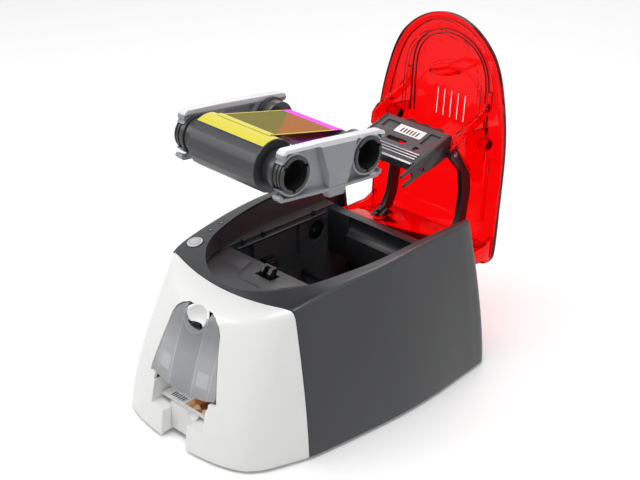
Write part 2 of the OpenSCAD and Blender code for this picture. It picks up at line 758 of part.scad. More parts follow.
// Gear on an axle along X, turned to mesh; the turn brings a tooth to that direction
module gear_on(y, z, teeth, turn, bore) {
    place_x(y, z) translate([0, 0, gear_plane - gear_width])
        difference() {
            rotate([0, 0, turn]) linear_extrude(gear_width) gear_outline(teeth, gear_module);
            translate([0, 0, -cut]) cylinder(r = bore, h = gear_width + 2 * cut);
        }
}
// Direction of one axis from another in the turned plane of the axles
function toward(y0, z0, y1, z1) = atan2(y1 - y0, -(z1 - z0));
idler_direction = toward(platen_y, platen_z, idler_y, idler_z);
feed_direction = toward(idler_y, idler_z, feed_y, platen_z);
motor_direction = toward(platen_y, platen_z, motor_y, motor_z);
// Turn of the platen gear, which has a tooth towards the idler
platen_turn = idler_direction;
// A gear meshes when it has a gap where the other has a tooth
function meshed(direction, turn, teeth, other) =
    direction + 180 + (180 + (direction - turn) * teeth) / other;
idler_turn = meshed(idler_direction, platen_turn, platen_teeth, idler_teeth);
feed_turn = meshed(feed_direction, idler_turn, idler_teeth, feed_teeth);
pinion_turn = meshed(motor_direction, platen_turn, platen_teeth, pinion_teeth);
roller_half = 31;
module roller(y, z, r) {
    difference() {
        rod(-roller_half, roller_half, r, y, z);
        rod(-roller_half - cut, roller_half + cut, shaft_radius, y, z);
    }
}
shaft_end = bay_half + frame_wall + 1.4;
module platen_roller() color("#222325") roller(platen_y, platen_z, platen_radius);
module platen_gear() color("#d9d4c6") {
    gear_on(platen_y, platen_z, platen_teeth, platen_turn, shaft_radius);
    rod(gear_plane - gear_width - 1, shaft_end, shaft_radius, platen_y, platen_z);
}
module feed_roller() color("#5a5b5e") roller(feed_y, platen_z, platen_radius);
module feed_gear() color("#d9d4c6") {
    gear_on(feed_y, platen_z, feed_teeth, feed_turn, shaft_radius);
    rod(gear_plane - gear_width - 1, shaft_end, shaft_radius, feed_y, platen_z);
}
idler_axle = 2;
module idler_gear() color("#cfcabb") gear_on(idler_y, idler_z, idler_teeth, idler_turn,
    idler_axle + running_gap);
motor_shaft = 1.5;
module motor_pinion() color("#c8a95a") {
    gear_on(motor_y, motor_z, pinion_teeth, pinion_turn, motor_shaft);
    rod(gear_plane - gear_width - 0.8, -frame_out + 6, motor_shaft, motor_y, motor_z);
}
motor_radius = 16.5;
module drive_motor() color("#8f9194") {
    difference() {
        union() {
            rod(-bay_half + seat_gap, -bay_half + 26, motor_radius, motor_y, motor_z);
            rod(-frame_out, -bay_half + seat_gap, motor_boss, motor_y, motor_z);
        }
        rod(-frame_out - cut, -frame_out + 8, motor_shaft + running_gap, motor_y, motor_z);
    }
}
module takeup_gear() color("#3c3d40") {
    place_x(takeup_y, takeup_z) translate([0, 0, -frame_out - 7.2]) difference() {
        linear_extrude(6) gear_outline(takeup_gear_teeth, gear_module);
        translate([0, 0, -cut]) cylinder(r = idler_axle + running_gap, h = 12);
    }
}
module cleaning_roller() color("#4f7fb5") {
    rod(-28, 28, 6, cleaning_y, cleaning_z);
    rod(-bay_half + 3.2, bay_half - 3.2, 1.5, cleaning_y, cleaning_z);
}
cleaning_z = track_height + 0.2 + 6;
// Fixed stub axles of the idler and take-up gears, and the cleaning roller's holders
module gear_axles() color("#a9abae") {
    rod(gear_plane - gear_width - 0.6, -frame_out, idler_axle, idler_y, idler_z);
    block(-frame_out - 12, -frame_out - 8, takeup_y - 6, takeup_y + 6, takeup_z - 16, takeup_z + 6);
    block(-frame_out - 12, -frame_out, takeup_y - 6, takeup_y + 6, takeup_z - 18, takeup_z - 14.5);
    rod(-frame_out - 8.1, -frame_out - 1, idler_axle, takeup_y, takeup_z);
    for (side = [-1, 1]) difference() {
        block(min(side * bay_half, side * (bay_half - 3)), max(side * bay_half, side * (bay_half - 3)),
            cleaning_y - 4, cleaning_y + 4, cleaning_z - 10, cleaning_z + 4);
        rod(-80, 80, 1.5 + running_gap, cleaning_y, cleaning_z);
    }
}

// ---- Controls ----
module on_button() {
    translate([button_place[0], button_place[1], top_height(button_place[1])])
        rotate([button_slope, 0, 0]) children();
}
button_sink = 3;
module power_button() color("#b9bbbd") {
    on_button() {
        translate([0, 0, -button_sink]) cylinder(r = button_radius, h = button_sink + 0.4);
        translate([0, 0, 0.4]) rotate_extrude()
            polygon([[0, 0], [button_radius, 0], [button_radius * 0.8, 0.6],
                [button_radius * 0.45, 1], [0, 1.15]]);
        translate([0, 0, -button_sink - 3]) cylinder(r = 2, h = 3.01);
    }
}
module button_switch() color("#2e4a3a") {
    on_button() {
        translate([0, 0, -button_sink - 3 - button_travel - 1.8])
            cylinder(r = 1.6, h = 1.5);
        translate([-4, -4, -button_sink - 7.6 - button_travel]) cube([8, 8, 2.81]);
        translate([-9, -12, -button_sink - 9.2 - button_travel]) cube([13.4, 16, 1.61]);
    }
}
ring_places = [[32.4 - half_width, 42.6], [30.5 - half_width, 56.7]];
ring_radius = 2.1;
ring_sink = 1.6;
module on_ring(p) {
    translate([p[0], p[1], top_height(p[1]) - ring_sink]) rotate([5, 0, 0]) children();
}
module indicator_rings() color("#d8dadb") {
    for (p = ring_places) on_ring(p) difference() {
        cylinder(r = ring_radius, h = ring_sink + 0.4);
        translate([0, 0, ring_sink - 0.1]) cylinder(r = ring_radius - 0.6, h = 2);
    }
}
catch_y = 45;
catch_pivot_z = deck_height - 10;
catch_top = deck_height + 9;
module lid_catch() color("#161617") {
    difference() {
        union() {
            slab(-6.5, 6.5, [[catch_y - 4, catch_pivot_z - 3], [catch_y + 3, catch_pivot_z - 3],
                [catch_y + 3, catch_top - 6], [catch_y + 4.6, catch_top - 2.4],
                [catch_y + 4.2, catch_top], [catch_y - 1, catch_top], [catch_y - 4, catch_top - 4]]);
            rod(-bracket_in + seat_gap, bracket_in - seat_gap, 3.4, catch_y, catch_pivot_z);
        }
        rod(-bracket_in, bracket_in, catch_pin_radius + running_gap, catch_y, catch_pivot_z);
        block(-2.5, 2.5, catch_y - 8, catch_y + 1.5, deck_height - 3, catch_top + cut);
    }
}
module catch_pin() color("#b5b7ba")
    rod(-bracket_out, bracket_out, catch_pin_radius, catch_y, catch_pivot_z);

// ---- Lid, drawn closed and turned open about the hinge ----
lid_rim_front = rim_height - 9;
lid_slope = 0.056;
lid_half = [
    [0, -1.7], [13, -0.2], [25.4, 4], [37, 10.7], [46.8, 19.2], [53.8, 27.6], [60.6, 41],
    [65.6, 57], [70, 76], [73, 96], [74.4, 116], [74.6, 160], [74.4, 200], [73, 208],
    [68, 213.6], [58, 215.2]
];
lid_outline = both_sides(smooth_open(lid_half, 2));
lid_centre_y = 128;
// Height of the rim plane
function rim_plane(y) = lid_rim_front + (y + 2.9) * lid_slope;
// Ring of the lid: outline shrunk towards its centre, at a height above the rim plane
function lid_ring(share, rise) = [for (p = lid_outline)
    let (y = lid_centre_y + (p[1] - lid_centre_y) * share)
    [p[0] * share, y, rim_plane(y) + rise]];
lid_profile = [[1, -5], [1, 0], [0.985, 2], [0.95, 3.6], [0.84, 6.4], [0.72, 8.2], [0.655, 9],
    [0.64, 10], [0.6, 10.2]];
crown_scale = lid_crown / 10;
module lid_place() {
    translate([0, hinge_y, hinge_z])
        rotate([-lid_open_angle, 0, 0])
            translate([0, -hinge_y, -hinge_z])
                children();
}
lid_slot_pitch = 8;
skirt_half = 62;
boss_wall = 1.2;
ear_in = frame_out + boss_wall + 0.4;
ear_out = ear_in + 4;
module lid_shell() color([0.85, 0.04, 0.03, 0.75]) lid_place() {
    difference() {
        union() {
            difference() {
                loft([for (p = lid_profile) lid_ring(p[0], p[1] * (p[1] > 0 ? crown_scale : 1))]);
                loft([for (p = lid_profile)
                    lid_ring(p[0] - lid_wall / 76, p[1] * (p[1] > 0 ? crown_scale : 1)
                        - (p[1] < 0 ? cut : lid_wall))]);
            }
            slab(-skirt_half, skirt_half, [[197, 91], [199, 90], [199, rim_plane(199) + 5.7],
                [196.8, rim_plane(199) + 5.7]]);
            for (side = [-1, 1]) {
                slab(min(side * ear_in, side * ear_out), max(side * ear_in, side * ear_out),
                    [[hinge_y - 6, hinge_z], [hinge_y - 2, hinge_z - 6], [hinge_y + 3, hinge_z - 6],
                    [hinge_y + 6, hinge_z], [208, rim_plane(208) - 14.8], [208, rim_plane(208) - 1.4],
                    [186, rim_plane(186) - 1.6], [194, rim_plane(194) - 16]]);
                slab(side * 47 - 1.2, side * 47 + 1.2,
                    [[93, 101], [97, 100], [103, 104], [142, rim_plane(142) - 4.1],
                    [142, rim_plane(142) + 6.9], [92, rim_plane(92) + 6.7]]);
            }
        }
        rod(-80, 80, hinge_pin_radius + running_gap, hinge_y, hinge_z);
        for (i = [0:lid_slot_count - 1])
            translate([(i - (lid_slot_count - 1) / 2) * lid_slot_pitch - 1, 71, 120])
                cube([2, 25, 60]);
    }
}
arm_in = 39.6;
arm_out = 44.6;
pivot_y = 112.5;
pivot_z = 108;
pivot_radius = 2.5;
module lid_arm(side) {
    x0 = min(side * arm_in, side * arm_out);
    x1 = max(side * arm_in, side * arm_out);
    difference() {
        union() {
            slab(x0, x1, [[107, 107], [109, 102.5], [115, 102], [119, 106], [130, 119], [150, 124.5],
                [176, 124.5], [190, 119], [196.7, 106], [196.7, 124], [190, 131], [178, 135],
                [150, 135.5], [130, 131], [116, 119]]);
            slab(min(side * 36, side * arm_out), max(side * 36, side * arm_out),
                [[191, 121], [196.7, 112], [196.7, 130]]);
        }
        rod(-60, 60, pivot_radius + running_gap, pivot_y, pivot_z);
        for (z = [112.5, 126]) rod_y(side * 41, z, 1.6, 192, 198);
    }
}
module left_lid_arm() color("#1f2022") lid_place() lid_arm(-1);
module right_lid_arm() color("#1f2022") lid_place() lid_arm(1);
module arm_screws() color("#a4a6a8") lid_place() {
    for (side = [-1, 1]) for (z = [115, 124]) {
        difference() {
            rod_y(side * 41, z, 2.8, 199, 200.4);
            block(-60, 60, 199.8, 202, z - 0.4, z + 0.4);
        }
    }
}
// Loop under the lid that the catch hooks over
striker_y = 50.2;
striker_half = 9;
module lid_striker() color("#1f2022") lid_place() {
    crown = lid_profile[len(lid_profile) - 1][1] * crown_scale;
    striker_top = rim_plane(striker_y) + crown - lid_wall - seat_gap;
    difference() {
        block(-striker_half, striker_half, striker_y, striker_y + 2.6, catch_top - 5.4, striker_top);
        block(-striker_half + 2, striker_half - 2, striker_y - cut, striker_y + 4,
            catch_top - 3, striker_top - 3);
    }
}

// ---- Print head, hung between the arms ----
module head_place() {
    lid_place() translate([0, head_top[0], head_top[1]]) rotate([head_lean, 0, 0]) children();
}
head_half = 36;
module head_carrier() color("#4c4d50") head_place() {
    difference() {
        union() {
            block(-head_half, head_half, 0, 3, -46, 0);
            block(-head_half, head_half, 0, 14, -3, 0);
            block(-head_half, head_half, 3, 10, -46, -43);
            for (x = [-head_half, -12, 10, head_half - 2]) block(x, x + 2, 2.9, 10, -45, -1);
        }
        block(-31, -15, -cut, 2, -17, -6);
        block(20, 32, -cut, 2, -23, -6);
        block(-15.6, 16.6, -cut, 0.6, -18.6, -6.4);
        for (x = [-12, 6]) rod_y(x, -27, 2.6, -1, 8);
        block(-12, 6, -1, 8, -29.6, -24.4);
        rod_y(22, -30, 3, -1, 8);
        rod_y(-27, -23, 2, -1, 8);
    }
}
module head_label() color("#f6f6f4") head_place() block(-15, 16, 0.1, 0.6, -18, -7);
module fork_plate(x0, x1) {
    difference() {
        slab(x0, x1, [[-0.6, 0], [15, 0], [16.5, -6], [16.5, -26], [13.5, -46], [12.6, -66],
            [10.2, -66.4], [9.6, -64], [3, -64], [2.6, -66.4], [0, -66], [-0.6, -50]]);
        hull() {
            rod(x0 - 1, x1 + 1, 3.6, fork_centre, -fork_depth);
            rod(x0 - 1, x1 + 1, 3.6, fork_centre, -80);
        }
        rod(x0 - 1, x1 + 1, 1.6, 10, -40.5);
    }
}
pivot_head = [pivot_y - head_top[0], pivot_z - head_top[1]];
pivot_local = [pivot_head[0] * cos(head_lean) + pivot_head[1] * sin(head_lean),
    -pivot_head[0] * sin(head_lean) + pivot_head[1] * cos(head_lean)];
module fork_side(side) {
    x0 = min(side * (head_half + 0.05), side * (head_half + 2.2));
    x1 = max(side * (head_half + 0.05), side * (head_half + 2.2));
    difference() {
        fork_plate(x0, x1);
        rod(x0 - 1, x1 + 1, pivot_radius, pivot_local[0], pivot_local[1]);
    }
}
module left_fork_plate() color("#3a3b3e") head_place() fork_side(-1);
module right_fork_plate() color("#3a3b3e") head_place() fork_side(1);
module thermal_head() color("#c4c6c8") head_place() {
    difference() {
        block(-33, 33, 0.6, 8, -49.6, -46);
        for (k = [0:1]) block(-34, 34, -1, 1.4, -48.9 + k * 1.6, -48.2 + k * 1.6);
    }
    block(-33, 33, -0.4, 0.6, -49.6, -47.9);
}
module head_pivot_pins() color("#b5b7ba") head_place() {
    for (side = [-1, 1])
        rod(min(side * (head_half + 0.1), side * (arm_out + 0.2)),
            max(side * (head_half + 0.1), side * (arm_out + 0.2)),
            pivot_radius, pivot_local[0], pivot_local[1]);
}

// ---- Film cartridge, lifted above the bay ----
module cartridge_place() {
    translate([0, lifted_y, lifted_z]) rotate([-cartridge_tilt, 0, 0]) children();
}
plate_x = 54;
clip_wall = 2;
clip_gap = 0.15;
flange_reach = 8;
// Depth of the plate's hollow boss outwards: at its top, at its bend and at its foot
boss_reach = [8, 9.5, 6];
boss_bend = -8;
boss_foot = -29;
// Row of points across the boss at one height, a thin step deep
module boss_row(side, reach, y0, y1, z) {
    slab(min(side * (plate_x + 1), side * (plate_x + reach)),
        max(side * (plate_x + 1), side * (plate_x + reach)),
        [[y0, z], [y1, z], [y1, z + 0.4], [y0, z + 0.4]]);
}
module end_plate(side) {
    in = side * plate_x;
    out = side * (plate_x + flange_reach);
    a = min(in, out);
    b = max(in, out);
    clip_outer = hub_radius + clip_gap + clip_wall;
    difference() {
        union() {
            slab(min(in, side * (plate_x + plate_wall)), max(in, side * (plate_x + plate_wall)),
                [[-9, 19], [30, 19], [96, 16], [95, 4], [90, -14], [95, -20.5],
                [66, -21.5], [61, -28], [41, -28], [36, -21.5], [-8, -20], [-10, -17], [2, -12]]);
            slab(a, b, [[-12, 12.4], [-13.5, 15], [-12.5, 19], [-9.5, 21.2], [28, 20.6],
                [94, 17.8], [98.5, 16.6], [100, 13.8], [98.8, 11.2], [96.4, 10.6], [95.6, 12.4],
                [96.6, 13.8], [93.5, 14.8], [28, 17.6], [-8.5, 18.2], [-10.2, 16], [-9, 13.8],
                [-9.6, 12.2]]);
            slab(a, b, [[-14, -15.6], [-15, -17.8], [-12.5, -20.6], [42, -22.4], [94, -22],
                [98.4, -19.4], [98.6, -16.6], [96.8, -16], [96.2, -18.2], [92.5, -19.6],
                [42, -20], [-10.5, -18.2], [-11.6, -15.4]]);
            hull() {
                boss_row(side, 1.5, 24.6, 69.6, 18.6);
                boss_row(side, 1.5, 34.5, 63, boss_bend);
                boss_row(side, boss_reach[0], 27, 68, 18.6);
                boss_row(side, boss_reach[1], 37, 61, boss_bend);
            }
            hull() {
                boss_row(side, 1.5, 34.5, 63, boss_bend);
                boss_row(side, 1.5, 41, 59.5, boss_foot);
                boss_row(side, boss_reach[1], 37, 61, boss_bend);
                boss_row(side, boss_reach[2], 42, 58.5, boss_foot);
            }
            for (y = [0, spool_spacing]) rod(a, b, clip_outer, y, 0);
        }
        for (y = [0, spool_spacing])
            rod(a - cut, b + cut, hub_radius + clip_gap, y, 0);
        slab(a - cut, b + cut, [[0, 10.6], [-40, 10.6], [-40, -10.6], [0, -10.6]]);
        slab(a - cut, b + cut, [[spool_spacing, 10.6], [spool_spacing + 40, 10.6],
            [spool_spacing + 40, -10.6], [spool_spacing, -10.6]]);
        slab(min(in - side * cut, side * (plate_x + boss_reach[0] - plate_wall)),
            max(in - side * cut, side * (plate_x + boss_reach[0] - plate_wall)),
            [[30.5, 14], [64.5, 14], [57.5, boss_bend], [40.5, boss_bend]]);
    }
}
module left_end_plate() color("#a6a9ad") cartridge_place() end_plate(-1);
module right_end_plate() color("#a6a9ad") cartridge_place() end_plate(1);
film_wall = 0.3;
film_gap = 0.4;
// The web runs from the top of the full roll to the top of the take-up core
web_drop = supply_radius - takeup_radius;
web_angle = asin(web_drop / spool_spacing);
module film_web() color("#f0e040") cartridge_place() {
    r0 = supply_radius + film_gap;
    r1 = takeup_radius + film_gap;
    s = sin(web_angle);
    c = cos(web_angle);
    slab(-film_width / 2, film_width / 2, [
        [r0 * s, r0 * c], [spool_spacing + r1 * s, r1 * c],
        [spool_spacing + (r1 + film_wall) * s, (r1 + film_wall) * c],
        [(r0 + film_wall) * s, (r0 + film_wall) * c]]);
}
core_radius = 8.5;
// Start of the hubs, and depth of their bores from the ends
hub_start = 41;
hub_bore_depth = 20;
hub_flange = 1.6;
module spool_core(y) {
    difference() {
        union() {
            rod(-spool_reach, spool_reach, core_radius + 2, y, 0);
            for (side = [-1, 1]) {
                rod(min(side * hub_start, side * spool_reach), max(side * hub_start, side * spool_reach),
                    hub_radius, y, 0);
                rod(min(side * (plate_x - 3), side * (plate_x - seat_gap)),
                    max(side * (plate_x - 3), side * (plate_x - seat_gap)),
                    hub_radius + hub_flange, y, 0);
            }
        }
        rod(-spool_reach - cut, spool_reach + cut, core_radius, y, 0);
        for (side = [-1, 1]) rod(
            min(side * (spool_reach - hub_bore_depth), side * (spool_reach + cut)),
            max(side * (spool_reach - hub_bore_depth), side * (spool_reach + cut)),
            spool_bore, y, 0);
    }
}
module supply_core() color("#2b2c2e") cartridge_place() spool_core(0);
module takeup_core() color("#2b2c2e") cartridge_place() spool_core(spool_spacing);
module supply_roll() color("#2f3032") cartridge_place() difference() {
    rod(-39, 39, supply_radius, 0, 0);
    rod(-40, 40, core_radius + 2, 0, 0);
}
module takeup_roll() color("#35353a") cartridge_place() difference() {
    rod(-film_width / 2, film_width / 2, takeup_radius, spool_spacing, 0);
    rod(-40, 40, core_radius + 2, spool_spacing, 0);
}

placed() main_casing();
placed() front_bezel();
placed() base_plate();
placed() rubber_feet();
placed() base_screws();
placed() rear_panel();
placed() dc_inlet();
placed() usb_port();
placed() control_board();
placed() bay_deck();
placed() left_side_frame();
placed() right_side_frame();
placed() bay_apron();
placed() cross_wall();
placed() card_track();
placed() card_hopper();
placed() output_tray();
placed() printed_card();
placed() drive_motor();
placed() roller_bushes();
placed() hinge_pins();
placed() gear_axles();
placed() film_sensor();
placed() indicator_rings();
placed() button_switch();
placed() lid_shell();
placed() left_lid_arm();
placed() right_lid_arm();
placed() lid_striker();
placed() arm_screws();
placed() head_carrier();
placed() left_fork_plate();
placed() right_fork_plate();
placed() thermal_head();
placed() head_label();
placed() head_pivot_pins();
placed() left_end_plate();
placed() right_end_plate();
placed() film_web();
placed() supply_core();
placed() supply_roll();
placed() takeup_core();
placed() takeup_roll();
placed() feeder_cover();
placed() feeder_pins();
placed() power_button();
placed() lid_catch();
placed() catch_pin();
placed() platen_roller();
placed() platen_gear();
placed() feed_roller();
placed() feed_gear();
placed() idler_gear();
placed() motor_pinion();
placed() takeup_gear();
placed() cleaning_roller();
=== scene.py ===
"""A desktop card printer with an open clear lid, a lifted film cartridge and a tilting feeder cover."""

import json
import math

import bpy
from mathutils import Matrix, Vector


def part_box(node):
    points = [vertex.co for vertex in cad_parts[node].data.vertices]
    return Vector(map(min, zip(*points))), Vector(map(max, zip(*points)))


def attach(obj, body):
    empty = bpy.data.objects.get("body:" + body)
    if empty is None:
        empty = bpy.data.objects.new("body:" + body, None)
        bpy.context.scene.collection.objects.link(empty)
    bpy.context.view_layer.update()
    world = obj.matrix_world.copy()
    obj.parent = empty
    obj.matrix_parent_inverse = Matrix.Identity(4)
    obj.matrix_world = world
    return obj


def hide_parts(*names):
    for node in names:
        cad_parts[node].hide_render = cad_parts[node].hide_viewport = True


bl_info = {
    "name": "Card printer",
    "version": (1, 0, 0),
    "blender": (4, 5, 0),
    "location": "View3D > Sidebar > Printer",
    "description": "Builds the finish of a desktop card printer around its packed frame",
    "category": "Object",
}

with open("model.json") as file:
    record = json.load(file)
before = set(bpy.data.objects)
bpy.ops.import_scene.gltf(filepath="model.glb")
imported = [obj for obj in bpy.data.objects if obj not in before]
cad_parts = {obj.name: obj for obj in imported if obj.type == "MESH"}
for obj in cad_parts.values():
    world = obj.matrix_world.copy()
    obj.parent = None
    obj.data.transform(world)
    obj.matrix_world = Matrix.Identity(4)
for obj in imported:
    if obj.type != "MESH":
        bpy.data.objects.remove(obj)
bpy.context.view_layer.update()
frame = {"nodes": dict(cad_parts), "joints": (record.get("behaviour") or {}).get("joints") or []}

MM = 0.001
TAU = 2 * math.pi
SIDES = ("left", "right")
JOINTS = {joint["name"]: joint for joint in frame["joints"]}
HINGE = Vector(JOINTS["lid_hinge"]["pos_m"])
# Distance of the lid's hinge behind the front seam, by which the seam is found in the frame
HINGE_BEHIND_SEAM = 204.2 * MM
SEAM = HINGE.y - HINGE_BEHIND_SEAM
LID_TURN = math.radians(98.2)


def place(x, y, z):
    """A point given in millimetres from the seam's centre on the floor, in the row frame."""
    return Vector((x * MM, y * MM + SEAM, z * MM))


# ---------------------------------------------------------------- colours


def tint(code):
    """Linear colour of a hex code."""
    parts = [int(code[i:i + 2], 16) / 255 for i in (1, 3, 5)]
    return tuple(c / 12.92 if c <= 0.04045 else ((c + 0.055) / 1.055) ** 2.4 for c in parts) + (1.0,)


def colour_property(name, description, code):
    return bpy.props.FloatVectorProperty(
        name=name, description=description, subtype="COLOR", size=4, min=0.0, max=1.0, default=tint(code))


def length_property(name, description, millimetres):
    return bpy.props.FloatProperty(
        name=name, description=description, default=millimetres * MM, min=0.0, unit="LENGTH")


class PrinterColours(bpy.types.PropertyGroup):
    casing: colour_property("Casing", "Moulded rear casing", "#303134")
    bezel: colour_property("Bezel", "Gloss front bezel and tray", "#f3f3f2")
    inner: colour_property("Inner mouldings", "Deck, apron and frames in the bay", "#3b3b3e")
    black: colour_property("Black parts", "Lid arms, catch and spools", "#1b1b1d")
    lid: colour_property("Lid", "Clear tinted lid", "#fb1416")
    smoke: colour_property("Feeder cover", "Clear grey feeder cover", "#c3c4c6")
    plate: colour_property("Cartridge plates", "End plates of the film cartridge", "#94969c")
    head: colour_property("Head carrier", "Moulding that holds the print head", "#4a4a4d")
    roll: colour_property("Film roll", "Wound film", "#39393c")
    yellow: colour_property("Yellow film", "First colour of the film", "#f0e024")
    magenta: colour_property("Magenta film", "Second colour of the film", "#ff10f0")
    button: colour_property("Power button", "Power button and indicator rings", "#cfcfcd")


class PrinterSizes(bpy.types.PropertyGroup):
    wall: length_property("Casing wall", "Thickness of the outer shells", 2.5)
    seam_gap: length_property("Seam gap", "Gap between bezel and casing", 0.6)
    rim_round: length_property("Rim rounding", "Rounding where the walls meet the top", 3.4)
    bezel_round: length_property("Bezel rounding", "Rounding of the bezel's top edge", 7.0)
    lid_wall: length_property("Lid wall", "Thickness of the clear lid", 2.2)


def colours():
    return bpy.context.scene.printer_colours


def sizes():
    return bpy.context.scene.printer_sizes


# ---------------------------------------------------------------- node groups


SURFACE_OUTPUTS = [("Colour", "NodeSocketColor"), ("Roughness", "NodeSocketFloat"),
                   ("Height", "NodeSocketFloat")]


def new_group(name, inputs, outputs):
    group = bpy.data.node_groups.new(name, "ShaderNodeTree")
    for label, kind, value in inputs:
        socket = group.interface.new_socket(label, in_out="INPUT", socket_type=kind)
        socket.default_value = value
    for label, kind in outputs:
        group.interface.new_socket(label, in_out="OUTPUT", socket_type=kind)
    entry = group.nodes.new("NodeGroupInput")
    leave = group.nodes.new("NodeGroupOutput")
    return group, entry, leave


def add_node(tree, kind, **settings):
    node = tree.nodes.new(kind)
    for key, value in settings.items():
        if key.startswith("in_"):
            label = key[3:]
            node.inputs[int(label) if label.isdigit() else label.replace("_", " ")].default_value = value
        else:
            setattr(node, key, value)
    return node


def feed(tree, sockets, values):
    """Gives each socket a link or a plain value."""
    for socket, value in zip(sockets, values):
        if isinstance(value, bpy.types.NodeSocket):
            tree.links.new(value, socket)
        elif value is not None:
            socket.default_value = value


def ramp(tree, source, stops):
    """Colour ramp fed by a value; stops are (position, grey or colour)."""
    node = tree.nodes.new("ShaderNodeValToRGB")
    while len(node.color_ramp.elements) < len(stops):
        node.color_ramp.elements.new(0.5)
    for element, (position, colour) in zip(node.color_ramp.elements, stops):
        element.position = position
        element.color = colour if hasattr(colour, "__len__") else (colour, colour, colour, 1.0)
    tree.links.new(source, node.inputs["Fac"])
    return node.outputs["Color"]


def mixed(tree, fac, a, b):
    """Mix of two colours; each of the three may be a socket or a plain value."""
    node = add_node(tree, "ShaderNodeMix", data_type="RGBA")
    feed(tree, (node.inputs[0], node.inputs[6], node.inputs[7]), (fac, a, b))
    return node.outputs[2]


def maths(operation):
    """Maker of one kind of maths node, whose values may be sockets or numbers."""
    def made(tree, a, b=None, clamp=False):
        node = add_node(tree, "ShaderNodeMath", operation=operation, use_clamp=clamp)
        feed(tree, node.inputs, (a, b))
        return node.outputs[0]
    return made


plus, minus, times = maths("ADD"), maths("SUBTRACT"), maths("MULTIPLY")
more, less, most, least = maths("GREATER_THAN"), maths("LESS_THAN"), maths("MAXIMUM"), maths("MINIMUM")
size_of, root, fraction = maths("ABSOLUTE"), maths("SQRT"), maths("FRACT")


def within(tree, value, low, high):
    """One where a value lies between two others."""
    return times(tree, more(tree, value, low), less(tree, value, high))


def near(tree, value, middle, reach):
    """One where a value is closer to the middle than a reach."""
    return less(tree, size_of(tree, minus(tree, value, middle)), reach)


def length_of(tree, a, b):
    """Length of the line with two given legs."""
    return root(tree, plus(tree, times(tree, a, a), times(tree, b, b)))


def striped(tree, value, pitch, share):
    """One in bands that repeat every so many millimetres, after a share of each that stays at nought."""
    return more(tree, fraction(tree, times(tree, value, 1 / (pitch * MM))), share)


def object_place(tree):
    """Object coordinates, whole and one by one."""
    where = tree.nodes.new("ShaderNodeTexCoord").outputs["Object"]
    split = tree.nodes.new("ShaderNodeSeparateXYZ")
    tree.links.new(where, split.inputs[0])
    return where, split.outputs


def noise_at(tree, where, **settings):
    node = add_node(tree, "ShaderNodeTexNoise", **settings)
    tree.links.new(where, node.inputs["Vector"])
    return node.outputs["Fac"]


def moulded_group():
    """Uneven tone, fine grain and faint dust of a moulded surface."""
    group, entry, leave = new_group(
        "moulded surface",
        [("Colour", "NodeSocketColor", (0.5, 0.5, 0.5, 1)), ("Tone", "NodeSocketFloat", 0.05),
         ("Grain", "NodeSocketFloat", 2200.0), ("Rough", "NodeSocketFloat", 0.4)], SURFACE_OUTPUTS)
    where = group.nodes.new("ShaderNodeTexCoord").outputs["Object"]
    cloud = noise_at(group, where, in_Scale=14.0, in_Detail=3.0, in_Roughness=0.6)
    grain = noise_at(group, where, in_Detail=2.0)
    group.links.new(entry.outputs["Grain"], grain.node.inputs["Scale"])
    shade = times(group, minus(group, cloud, 0.5), entry.outputs["Tone"])
    shade = plus(group, times(group, shade, 4.0), 1.0)
    scaled = add_node(group, "ShaderNodeVectorMath", operation="SCALE")
    group.links.new(entry.outputs["Colour"], scaled.inputs[0])
    group.links.new(shade, scaled.inputs["Scale"])
    rough = times(group, minus(group, cloud, 0.5), 0.18)
    grainy = times(group, minus(group, grain, 0.5), 0.10)
    rough = plus(group, plus(group, entry.outputs["Rough"], rough), grainy, clamp=True)
    feed(group, leave.inputs, (scaled.outputs[0], rough, grain))
    return group


def brushed_group():
    """Fine lines of a turned or drawn metal along X."""
    group, entry, leave = new_group(
        "turned metal",
        [("Colour", "NodeSocketColor", (0.6, 0.6, 0.6, 1)), ("Rough", "NodeSocketFloat", 0.3)],
        SURFACE_OUTPUTS)
    stretch = add_node(group, "ShaderNodeMapping", in_Scale=(2600.0, 260.0, 260.0))
    group.links.new(group.nodes.new("ShaderNodeTexCoord").outputs["Object"], stretch.inputs["Vector"])
    lines = noise_at(group, stretch.outputs["Vector"], in_Scale=1.0, in_Detail=2.0)
    colour = mixed(group, lines, entry.outputs["Colour"], (0.35, 0.35, 0.36, 1))
    feed(group, leave.inputs, (colour, plus(group, entry.outputs["Rough"], times(group, lines, 0.25)), lines))
    return group


# ---------------------------------------------------------------- materials


def blank_material(name):
    material = bpy.data.materials.new(name)
    material.use_nodes = True
    tree = material.node_tree
    return material, tree, tree.nodes["Principled BSDF"]


def shaders_mixed(tree, share, first, second):
    """Sends a mix of two shaders to the material's surface."""
    mix = tree.nodes.new("ShaderNodeMixShader")
    feed(tree, mix.inputs, (share, first.outputs[0], second.outputs[0]))
    tree.links.new(mix.outputs[0], tree.nodes["Material Output"].inputs["Surface"])


def uneven_rough(tree, shader, noise, amount, base):
    tree.links.new(plus(tree, times(tree, noise, amount), base), shader.inputs["Roughness"])


def recoloured(material, mask, colour):
    """Lays another colour over a material's own, where its mask says."""
    tree = material.node_tree
    base = tree.nodes["Principled BSDF"].inputs["Base Color"]
    tree.links.new(mixed(tree, mask, base.links[0].from_socket, colour), base)
    return material


def once(make):
    """A material is made the first time that its name is asked for."""
    def kept(name, *values, **settings):
        return bpy.data.materials.get(name) or make(name, *values, **settings)
    return kept


